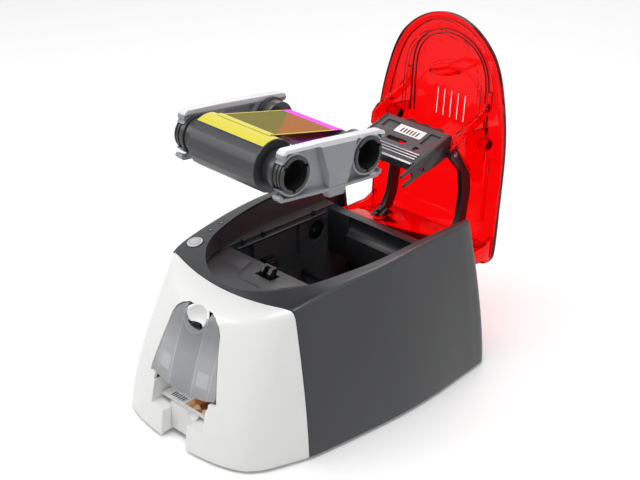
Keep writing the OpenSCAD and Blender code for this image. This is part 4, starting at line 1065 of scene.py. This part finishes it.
class PRINTER_OT_lid(bpy.types.Operator):
    """Build the clear lid with its crown, cooling slots, skirt, ears and brackets"""

    bl_idname = "printer.lid"
    bl_label = "Lid"

    def execute(self, context):
        wall = sizes().lid_wall / MM
        shell = lid_solid("lid_glazing", 0.0, 0.0)
        carve(shell, lid_solid("hollow", wall / LID_WIDE, wall))
        carve(shell, *[block("slot", i * SLOT_PITCH - 1, i * SLOT_PITCH + 1, 71, 96, 120, 170)
                       for i in range(-2, 3)])
        bevel(shell, 0.5, 2, 60.0)
        parts = [prism("skirt", SKIRT_SIDE, -SKIRT_HALF, SKIRT_HALF, "x")]
        for side in (-1, 1):
            ear = prism("ear", EAR_SIDE, *sided(side, *EAR), "x")
            carve(ear, rod_x("pin way", -90, 90, 3.06, *PIN))
            web = prism("bracket", BRACKET_SIDE, *sided(side, 45.8, 48.2), "x")
            fins = [rod_x("fin", side * x - 0.7, side * x + 0.7, 5.6, *DRUM) for x in FINS]
            core = rod_x("fin core", *sided(side, 48.2, 58), 4.4, *DRUM)
            strap = prism("strap", STRAP_SIDE, *sided(side, 55, 58), "x")
            horn = prism("horn", HORN_SIDE, *sided(side, 45.4, 50), "x")
            bevel(horn, 1.0, 3, 40.0)
            parts += [ear, web, core, strap, horn, *fins]
        details = joined("details", *parts)
        bevel(details, 0.5, 2, 50.0)
        lid = joined("lid_glazing", shell, details)
        open_lid(lid)
        smooth(lid, 32.0)
        finish_piece(lid, "lid", lid_finish(), ("lid_shell",))
        arch = mirrored_line(ARCH_HALF)
        border = mirrored_line([(x * 0.93, LID_CENTRE + (y - LID_CENTRE) * 0.95) for x, y in LID_HALF[:12]])
        ribs = ((arch, 0.8, 1.2), (offset_line(arch, 3.6), 0.7, 1.0), (border, 0.6, 0.5))
        lines = joined("lid_lines", *[surface_rib(*rib) for rib in ribs])
        open_lid(lines)
        smooth(lines, 32.0)
        # Painted shade: the ribs under the lid are an opaque dark red, for how they show darker through the
        # clear lid.
        finish_piece(lines, "lid", moulded("lid rib painted shade", tint("#4a0507"), rough=0.25, tone=0.1))
        return {"FINISHED"}


class PRINTER_OT_arms(bpy.types.Operator):
    """Build the two curved lid arms, the loop for the catch and the arm screws"""

    bl_idname = "printer.arms"
    bl_label = "Lid arms"

    def execute(self, context):
        black = black_finish()
        for side in SIDES:
            refined(f"{side}_lid_arm", f"arm_{side}", black, 0.9, segments=3, body="lid")
        refined("lid_striker", "catch_loop", lid_finish(), 0.4, body="lid")
        refined("arm_screws", "arm_screw_heads", steel_finish(), 0.2, body="lid")
        return {"FINISHED"}


# ---------------------------------------------------------------- print head

HEAD_TOP = (96.8, 106.3)
STRIP_FOOT = -37.4
STRIP_PITCH = 3.2
HEAD_LEAN = math.radians(25.15)


def head_block(name, x0, x1, y0, y1, z0, z1):
    """Box in the head's own frame: X across, Y through the carrier, Z down its face from the top edge."""
    return to_head(block(name, x0, x1, y0, y1, z0, z1))


def to_head(piece):
    """Moves a piece drawn about the seam's centre into the head's own frame, then turns it with the lid."""
    origin = place(0, 0, 0)
    turn = Matrix.Rotation(HEAD_LEAN, 4, "X")
    piece.data.transform(Matrix.Translation(place(0, *HEAD_TOP)) @ turn @ Matrix.Translation(-origin))
    return open_lid(piece)


def wavy_cover():
    """Ridged cover over the cable, along the top edge of the carrier."""
    low, high, waves = -30.0, 35.0, 4
    count = waves * 8
    top = []
    for i in range(count + 1):
        x = low + (high - low) * i / count
        ends = min(1.0, min(i, count - i) / 6)
        top.append((x, 1.2 + ends * (5.0 + 1.3 * math.cos(TAU * waves * i / count))))
    return to_head(prism("cable_cover", [(low, 0.1), *top, (high, 0.1)], 3.6, 12.6, "y"))


def label_finish():
    """White label with a plain row of dark bars."""
    material, tree, shader = blank_material("head label")
    where, parts = object_place(tree)
    low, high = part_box("head_label")
    bars = striped(tree, parts["X"], 3.6, 0.5)
    wide, tall = [near(tree, parts[name], (low[i] + high[i]) / 2, (high[i] - low[i]) * share)
                  for name, i, share in (("X", 0, 0.36), ("Z", 2, 0.24))]
    ink = times(tree, times(tree, bars, wide), tall)
    tree.links.new(mixed(tree, ink, tint("#f4f4f4"), tint("#1b1b20")), shader.inputs["Base Color"])
    uneven_rough(tree, shader, noise_at(tree, where, in_Scale=400.0), 0.2, 0.35)
    return material


class PRINTER_OT_head(bpy.types.Operator):
    """Build the print-head carrier, its forks, ribbed cable cover, metal strips and label"""

    bl_idname = "printer.head"
    bl_label = "Print head"

    def execute(self, context):
        grey = moulded("head moulding", colours().head, rough=0.36, tone=0.05, relief=0.2)
        refined("head_carrier", "carrier", grey, 0.5, segments=3, body="print_head")
        dark = moulded("fork moulding", tint("#2f2f32"), rough=0.34, tone=0.05, relief=0.2)
        for side in SIDES:
            refined(f"{side}_fork_plate", f"fork_{side}", dark, 0.35, body="print_head")
        cover = wavy_cover()
        softened(cover, 0.4, 60.0)
        finish_piece(cover, "print_head", black_finish())
        feet = [STRIP_FOOT - k * STRIP_PITCH for k in range(3)]
        strips = [head_block("strip", -33, 33, -1.5, 0.2, foot, foot + 1.2) for foot in feet]
        strips = joined("metal_strips", *strips)
        softened(strips, 0.2, 40.0)
        shiny = metal("strip metal", tint("#dcdde0"), 0.2)
        finish_piece(strips, "print_head", shiny)
        refined("thermal_head", "thermal_bar", shiny, 0.15, body="print_head")
        refined("head_label", "carrier_label", label_finish(), 0.05, body="print_head")
        refined("head_pivot_pins", "pivot_pins", steel_finish(), 0.3, body="print_head")
        return {"FINISHED"}


# ---------------------------------------------------------------- film cartridge

SUPPLY = (17.5, 238.2)
TILT = math.radians(4.9)
SPACING = 81.0
SUPPLY_RADIUS = 22.0
TAKEUP_RADIUS = 11.0
FILM_HALF = 31.0
ROLL_HALF = 39.0
FILM_GAP = 0.4
# Distance of the three mouth notches from a spool's axis
NOTCH_REACH = 12.9
# Lines of (along, up) for the loose fold on the web and for the film's lower layer
FOLD_LINE = [(0.8, 22.65), (3.3, 23.15), (6.3, 22.74)]
RETURN_LINE = [(20.6, 12.8), (69.0, 9.0)]
# Height over the supply spool's axis above which the end plates get a painted highlight, and its fall towards
# the other spool
FLANGE_HIGHLIGHT_LEVEL = 17.2
FLANGE_HIGHLIGHT_FALL = 0.033


def on_cartridge(along, up):
    """A place along and above the line between the spools' axes, as (y, z) from the seam."""
    c, s = math.cos(-TILT), math.sin(-TILT)
    return SUPPLY[0] + along * c - up * s, SUPPLY[1] + along * s + up * c


def turned(name, profile, y, z, steps=72):
    """Form turned about a line along X from a profile of (x, radius), by spinning its line in edit mode."""
    points = [place(x, y, z) + Vector((0, 0, r * MM)) for x, r in profile]
    piece = mesh_piece(name, points, [(i, i + 1) for i in range(len(points) - 1)], [])
    edit_all(piece)
    bpy.ops.mesh.spin(steps=steps, angle=TAU, center=place(0, y, z), axis=(1, 0, 0))
    bpy.ops.object.mode_set(mode="OBJECT")
    outward(piece)
    return piece


def spool_profile():
    """Half section of one whole spool, from its left mouth round the outside and back through the bore."""
    hub, tube, step, mouth, deep = 15.4, 10.5, 8.5, 12.3, 43.5
    right = [(32, tube), (41, tube), (41.4, hub - 0.3), (41.8, hub), (50.8, hub), (51, hub + 1.2),
             (51.4, hub + 1.6), (53.3, hub + 1.6), (53.7, hub + 1.2), (53.9, hub), (57, hub),
             (57.3, hub - 0.8), (58.7, hub - 0.8), (59, hub), (60.4, hub), (60.7, hub - 0.8),
             (61.9, hub - 0.8), (62.2, hub), (63.1, hub), (63.5, hub - 0.5), (63.5, mouth + 0.4),
             (63.1, mouth), (deep, mouth), (deep, step)]
    left = [(-x, r) for x, r in right[::-1]]
    return left + right + [left[0]]


def ribbed_ring(name, x0, x1, inner, outer, y, z, count):
    """Knurled band round a spool end."""
    outline = []
    for i in range(count * 2):
        radius = outer if i % 2 else inner
        angle = TAU * i / (count * 2)
        outline.append((y + radius * math.cos(angle), z + radius * math.sin(angle)))
    band = prism(name, outline, x0, x1, "x")
    carve(band, rod_x("way", x0 - 2, x1 + 2, inner - 0.5, y, z, 64))
    return band


class PRINTER_OT_spools(bpy.types.Operator):
    """Build the supply and take-up spools with their grooved, notched ends and wound film"""

    bl_idname = "printer.spools"
    bl_label = "Spools"

    def execute(self, context):
        black = moulded("spool moulding", tint("#29292b"), rough=0.3, tone=0.05, relief=0.1, coat=0.2)
        for name, along, body in (("supply", 0.0, "supply_spool"), ("takeup", SPACING, "takeup_spool")):
            y, z = on_cartridge(along, 0)
            spool = turned(f"{name}_spool_core", spool_profile(), y, z)
            notches = []
            for k in range(3):
                angle = TAU * k / 3 + 0.4
                cy, cz = y + NOTCH_REACH * math.cos(angle), z + NOTCH_REACH * math.sin(angle)
                for x0, x1 in ((-64.5, -59), (59, 64.5)):
                    notches.append(block("notch", x0, x1, cy - 1.4, cy + 1.4, cz - 1.4, cz + 1.4))
            carve(spool, *notches)
            knurl = ribbed_ring("knurl", -62.6, -58.8, 14.5, 15.3, y, z, 44)
            spool = joined(f"{name}_spool_core", spool, knurl)
            smooth(spool, 38.0)
            finish_piece(spool, body, black, (f"{name}_core",))
        wound = moulded("wound film", colours().roll, rough=0.3, tone=0.03, grain=500.0, relief=0.05)
        for name, along, body, radius, half, sides in (
                ("supply", 0.0, "supply_spool", SUPPLY_RADIUS, ROLL_HALF, 18),
                ("takeup", SPACING, "takeup_spool", TAKEUP_RADIUS, FILM_HALF, 40)):
            y, z = on_cartridge(along, 0)
            roll = rod_x(f"{name}_film_roll", -half, half, radius, y, z, sides)
            carve(roll, rod_x("way", -half - 2, half + 2, 10.52, y, z, 48))
            softened(roll, 0.6, 10.0, 8.0 if name == "supply" else 40.0)
            finish_piece(roll, body, wound, (f"{name}_roll",))
        return {"FINISHED"}


def film_finish():
    """Clear film: yellow, with orange towards the next colour and a magenta band at the take-up end."""
    material, tree, shader = blank_material("clear film")
    where, parts = object_place(tree)
    low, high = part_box("film_web")
    along = times(tree, minus(tree, parts["Y"], low[1]), 1 / (high[1] - low[1]))
    across = times(tree, parts["X"], 1 / (high[0] - low[0]))
    orange = more(tree, plus(tree, along, times(tree, across, 0.95)), 0.53)
    band = more(tree, along, 0.88)
    border = most(tree, more(tree, size_of(tree, across), 0.478), less(tree, along, 0.045))
    noise = noise_at(tree, where, in_Scale=30.0)
    olive = mixed(tree, noise, tint("#b0a400"), tint("#968c00"))
    base = mixed(tree, orange, olive, tint("#dc8800"))
    base = mixed(tree, band, mixed(tree, border, base, colours().yellow), colours().magenta)
    tree.links.new(base, shader.inputs["Base Color"])
    uneven_rough(tree, shader, noise, 0.08, 0.2)
    shader.inputs["Specular IOR Level"].default_value = 0.15
    firm = plus(tree, times(tree, most(tree, border, band), 0.45), 0.5)
    tinted = tree.nodes.new("ShaderNodeBsdfTransparent")
    tree.links.new(base, tinted.inputs["Color"])
    shaders_mixed(tree, firm, tinted, shader)
    return material


def strip_along(name, points, half, thickness):
    """Thin strip of film: a line of (along, up) points of the cartridge, widened and given a thickness."""
    outer, inner = [[on_cartridge(*p) for p in line] for line in (points, offset_line(points, -thickness))]
    return prism(name, outer + inner[::-1], -half, half, "x")


def arc_points(radius, start, end, steps):
    turns = [math.radians(start + (end - start) * k / steps) for k in range(steps + 1)]
    return [(radius * math.sin(turn), radius * math.cos(turn)) for turn in turns]


class PRINTER_OT_film(bpy.types.Operator):
    """Build the stretched film and the coloured film lying on the supply roll"""

    bl_idname = "printer.film"
    bl_label = "Film"

    def execute(self, context):
        drop = math.asin((SUPPLY_RADIUS - TAKEUP_RADIUS) / SPACING)
        s, c = math.sin(drop), math.cos(drop)
        r0, r1 = SUPPLY_RADIUS + FILM_GAP + 0.3, TAKEUP_RADIUS + FILM_GAP + 0.3
        web = strip_along("film_sheet", [(r0 * s, r0 * c), (SPACING + r1 * s, r1 * c)], FILM_HALF, 0.3)
        finish_piece(web, "cartridge", film_finish(), ("film_web",))
        under = strip_along("film_return", RETURN_LINE, ROLL_HALF + 0.5, 0.3)
        purple = moulded("return film", tint("#6a1f78"), rough=0.25, tone=0.1, relief=0.02)
        purple.node_tree.nodes["Principled BSDF"].inputs["Alpha"].default_value = 0.8
        finish_piece(under, "cartridge", purple)
        yellow = moulded("wound yellow film", tint("#ddd132"), rough=0.22, tone=0.03, relief=0.02, coat=0.3)
        lead_radius = SUPPLY_RADIUS + 0.25
        lead = strip_along("yellow_lead", arc_points(lead_radius, -34, 13, 12), ROLL_HALF - 0.4, 0.2)
        smooth(lead, 30.0)
        finish_piece(lead, "supply_spool", yellow)
        fold = strip_along("film_fold", FOLD_LINE, FILM_HALF, 0.2)
        finish_piece(fold, "cartridge", yellow)
        edge = strip_along("film_edge_line", arc_points(lead_radius, -36, -34, 3), ROLL_HALF - 0.4, 0.2)
        blue = moulded("film edge line", tint("#23246b"), rough=0.3)
        finish_piece(edge, "supply_spool", blue)
        return {"FINISHED"}


def plate_finish():
    """Grey moulding, with a painted highlight along the flange over its top."""
    material = moulded("plate moulding", colours().plate, rough=0.32, tone=0.03, relief=0.08, coat=0.25)
    tree = material.node_tree
    parts = object_place(tree)[1]
    c, s = math.cos(-TILT), math.sin(-TILT)
    ahead, up = FLANGE_HIGHLIGHT_FALL * c - s, c + FLANGE_HIGHLIGHT_FALL * s
    axis = place(0, *SUPPLY)
    level = plus(tree, times(tree, parts["Y"], ahead), times(tree, parts["Z"], up))
    level = minus(tree, level, axis.y * ahead + axis.z * up)
    # Painted highlight: pale grey above a sloping level, over the top flange.
    return recoloured(material, more(tree, level, FLANGE_HIGHLIGHT_LEVEL * MM), tint("#e6e7ea"))


class PRINTER_OT_plates(bpy.types.Operator):
    """Build the two end plates of the film cartridge"""

    bl_idname = "printer.plates"
    bl_label = "Cartridge plates"

    def execute(self, context):
        grey = plate_finish()
        for side in SIDES:
            refined(f"{side}_end_plate", f"cartridge_plate_{side}", grey, 0.6, segments=3,
                    body="cartridge")
        return {"FINISHED"}


# ---------------------------------------------------------------- bay, drive and fittings


class PRINTER_OT_bay(bpy.types.Operator):
    """Build the ledges, side frames, trough and guides inside the cartridge bay"""

    bl_idname = "printer.bay"
    bl_label = "Cartridge bay"

    def execute(self, context):
        dark = moulded("bay side moulding", tint("#232326"), rough=0.36, tone=0.05, relief=0.2)
        refined("bay_deck", "deck", inner_finish(), 0.5, segments=3)
        refined("bay_apron", "apron", inner_finish(), 0.5, segments=3)
        parts = []
        for side in (-1, 1):
            parts.append(block("ledge", *sided(side, 65.2, 59.5), 64, 172, 112.6, 114.6))
            for y in (72, 96, 158):
                parts.append(block("tooth", *sided(side, 65.1, 62), y, y + 3, 114.4, 119.5))
        ledges = joined("bay_ledges", *parts)
        softened(ledges, 0.35, 40.0)
        finish_piece(ledges, "printer_body", dark)
        low = [(-17, 20), (17, 20), (32, 54), (-32, 54)]
        high = [(-12, 24), (12, 24), (26, 52), (-26, 52)]
        rings = [[(x, y, DECK + 0.3 + 0.1227 * max(38 - y, 0) + rise) for x, y in ring]
                 for ring, rise in ((low, -0.4), (high, 1.2))]
        panel = loft_piece("apron_panel", rings)
        carve(panel, block("slot", -9.4, 9.4, 38, 60, 100, 130))
        softened(panel, 0.3, 20.0, 15.0)
        finish_piece(panel, "printer_body", inner_finish())
        # Painted light: the side frames are a lighter grey than the ledges and trough, for light that reaches
        # into the bay.
        wall = moulded("bay wall moulding with painted light", tint("#4a4a4e"), rough=0.4, tone=0.05, relief=0.2)
        for side in SIDES:
            refined(f"{side}_side_frame", f"side_frame_{side}", wall, 0.35)
        refined("cross_wall", "trough", dark, 0.4)
        deep = moulded("bay floor moulding", tint("#19191b"), rough=0.45, tone=0.08, grain=1500.0, relief=0.3)
        refined("card_track", "track", deep, 0.3)
        refined("card_hopper", "hopper", inner_finish(), 0.35)
        refined("film_sensor", "sensor", black_finish(), 0.3)
        refined("lid_catch", "catch_lever", black_finish(), 0.4, segments=3,
                body="lid_catch")
        return {"FINISHED"}


class PRINTER_OT_drive(bpy.types.Operator):
    """Build the rollers, gears, pinion, bushes and motor"""

    bl_idname = "printer.drive"
    bl_label = "Drive"

    def execute(self, context):
        roller = moulded("roller rubber", tint("#4a4a4d"), rough=0.6, tone=0.06, grain=2600.0, relief=0.3)
        for body in ("platen", "feed", "cleaning"):
            refined(f"{body}_roller", f"{body}_cylinder", roller, 0.25, angle=40.0,
                    body=body)
        pale = moulded("gear moulding", tint("#dfddd2"), rough=0.35, tone=0.04, relief=0.1)
        for body in ("platen", "feed", "idler"):
            refined(f"{body}_gear", f"{body}_wheel", pale, 0.12, angle=50.0, body=body)
        # Painted shade: the take-up gear is near black, darker than the other black mouldings, for the shade
        # in its hole.
        dark = moulded("gear moulding with painted shade", tint("#0d0d0e"), rough=0.5)
        refined("takeup_gear", "takeup_wheel", dark, 0.12, angle=50.0, body="takeup_drive")
        brass = metal("sintered brass", tint("#b08d4c"), 0.35)
        refined("motor_pinion", "pinion", brass, 0.08, angle=50.0, body="pinion")
        can = metal("motor can", tint("#a9abad"), 0.35)
        refined("drive_motor", "motor", can, 0.4)
        refined("roller_bushes", "bushes", brass, 0.12, angle=50.0)
        return {"FINISHED"}


class PRINTER_OT_base(bpy.types.Operator):
    """Build the base, feet, rear panel, sockets and control board"""

    bl_idname = "printer.base"
    bl_label = "Base and rear panel"

    def execute(self, context):
        refined("base_plate", "base_moulding", casing_finish(), 0.4)
        refined("rear_panel", "back_panel", casing_finish(), 0.35)
        rubber = moulded("ground rubber", tint("#1d1d1e"), rough=0.75, tone=0.12, grain=3200.0, relief=0.6)
        refined("rubber_feet", "feet", rubber, 0.5)
        refined("dc_inlet", "power_socket", black_finish(), 0.25)
        refined("usb_port", "data_socket", steel_finish(), 0.15)
        board = moulded("board laminate", tint("#1e5a38"), rough=0.3, tone=0.12, grain=700.0, relief=0.1,
                        coat=0.3)
        refined("control_board", "board", board, 0.2)
        refined("button_switch", "switch", board, 0.2)
        return {"FINISHED"}


class PRINTER_OT_pins(bpy.types.Operator):
    """Finish the pins, axles and screws that stay as they are in the frame"""

    bl_idname = "printer.pins"
    bl_label = "Pins and screws"

    def execute(self, context):
        for node in ("base_screws", "hinge_pins", "gear_axles", "feeder_pins", "catch_pin"):
            piece = frame["nodes"][node]
            piece.data.materials.clear()
            piece.data.materials.append(steel_finish())
        return {"FINISHED"}


# ---------------------------------------------------------------- stage

AZIMUTH = 45.6
ELEVATION = 26.4
DISTANCE = 1.379
LENS = 85.3
TARGET = (-50.4, 154.8, 95.2)
WHITE = (1, 1, 1, 1)
# Name, azimuth and elevation in degrees, distance and side in metres, power in watts
LAMPS = (("overhead lamp", 20, 78, 1.9, 1.4, 24), ("left lamp", -40, 34, 1.9, 0.9, 7),
         ("right lamp", 110, 30, 2.0, 0.9, 2), ("rear lamp", 205, 48, 2.0, 0.9, 8))


def direction(azimuth, elevation):
    """Unit way from the object to a place at two angles given in degrees."""
    a, e = math.radians(azimuth), math.radians(elevation)
    return Vector((math.sin(a) * math.cos(e), -math.cos(a) * math.cos(e), math.sin(e)))


def lamp(name, azimuth, elevation, reach, size, power):
    """Square soft lamp that looks at the middle of the object."""
    light = bpy.data.lights.new(name, "AREA")
    light.shape = "SQUARE"
    light.size = size
    light.energy = power
    item = bpy.data.objects.new(name, light)
    bpy.context.scene.collection.objects.link(item)
    back = direction(azimuth, elevation)
    item.location = Vector((0, 0, 0.12)) + back * reach
    item.rotation_euler = back.to_track_quat("Z", "Y").to_euler()


def seen_white(tree, shader):
    """Shows white in reflections and through clear pieces, and the plain surface to other light."""
    ray = tree.nodes.new("ShaderNodeLightPath")
    glow = add_node(tree, "ShaderNodeEmission", in_Color=WHITE, in_Strength=1.0)
    either = most(tree, ray.outputs["Is Glossy Ray"], ray.outputs["Is Transmission Ray"])
    shaders_mixed(tree, either, shader, glow)


class PRINTER_OT_stage(bpy.types.Operator):
    """Set the floor, the white surroundings, the lamps and the camera"""

    bl_idname = "printer.stage"
    bl_label = "Stage"

    def execute(self, context):
        scene = context.scene
        deselect()
        bpy.ops.mesh.primitive_plane_add(size=12.0, location=(0, 0, 0))
        floor = context.object
        floor.name = "floor"
        material, tree, shader = blank_material("white table")
        shader.inputs["Base Color"].default_value = (0.95, 0.95, 0.95, 1)
        shader.inputs["Roughness"].default_value = 0.6
        shader.inputs["Specular IOR Level"].default_value = 0.2
        lift = times(tree, tree.nodes.new("ShaderNodeLightPath").outputs["Is Camera Ray"], 0.12)
        tree.links.new(lift, shader.inputs["Emission Strength"])
        shader.inputs["Emission Color"].default_value = WHITE
        seen_white(tree, shader)
        floor.data.materials.append(material)
        world = bpy.data.worlds.new("white room")
        scene.world = world
        world.use_nodes = True
        tree = world.node_tree
        back = tree.nodes["Background"]
        ray = tree.nodes.new("ShaderNodeLightPath")
        seen = most(tree, ray.outputs["Is Camera Ray"], ray.outputs["Is Transmission Ray"])
        seen = most(tree, seen, times(tree, ray.outputs["Is Glossy Ray"], 0.8))
        tree.links.new(plus(tree, times(tree, seen, 0.7), 0.3), back.inputs["Strength"])
        back.inputs["Color"].default_value = WHITE
        for values in LAMPS:
            lamp(*values)
        camera = bpy.data.objects.new("camera", bpy.data.cameras.new("camera"))
        scene.collection.objects.link(camera)
        camera.data.lens = LENS
        camera.data.sensor_width = 36.0
        back = direction(AZIMUTH, ELEVATION)
        camera.location = place(*TARGET) + back * DISTANCE
        camera.rotation_mode = "QUATERNION"
        camera.rotation_quaternion = back.to_track_quat("Z", "Y")
        scene.camera = camera
        scene.view_settings.view_transform = "Standard"
        return {"FINISHED"}


STEPS = (
    PRINTER_OT_casing, PRINTER_OT_bezel, PRINTER_OT_tray, PRINTER_OT_feeder_cover, PRINTER_OT_button,
    PRINTER_OT_lid, PRINTER_OT_arms, PRINTER_OT_head, PRINTER_OT_spools, PRINTER_OT_film, PRINTER_OT_plates,
    PRINTER_OT_bay, PRINTER_OT_drive, PRINTER_OT_base, PRINTER_OT_pins, PRINTER_OT_stage,
)


class PRINTER_PT_panel(bpy.types.Panel):
    """Lists the steps that build the card printer"""

    bl_idname = "PRINTER_PT_panel"
    bl_label = "Card printer"
    bl_space_type = "VIEW_3D"
    bl_region_type = "UI"
    bl_category = "Printer"

    def draw(self, context):
        column = self.layout.column(align=True)
        for step in STEPS:
            column.operator(step.bl_idname)
        for group in (context.scene.printer_colours, context.scene.printer_sizes):
            column = self.layout.column(align=True)
            for name in group.bl_rna.properties.keys():
                if name not in ("rna_type", "name"):
                    column.prop(group, name)


CLASSES = (PrinterColours, PrinterSizes, *STEPS, PRINTER_PT_panel)


def register():
    for item in CLASSES:
        bpy.utils.register_class(item)
    bpy.types.Scene.printer_colours = bpy.props.PointerProperty(type=PrinterColours)
    bpy.types.Scene.printer_sizes = bpy.props.PointerProperty(type=PrinterSizes)


def unregister():
    del bpy.types.Scene.printer_sizes
    del bpy.types.Scene.printer_colours
    for item in reversed(CLASSES):
        bpy.utils.unregister_class(item)


def main():
    register()
    for step in STEPS:
        getattr(bpy.ops.printer, step.bl_idname.split(".")[1])()


if __name__ == "__main__":
    main()
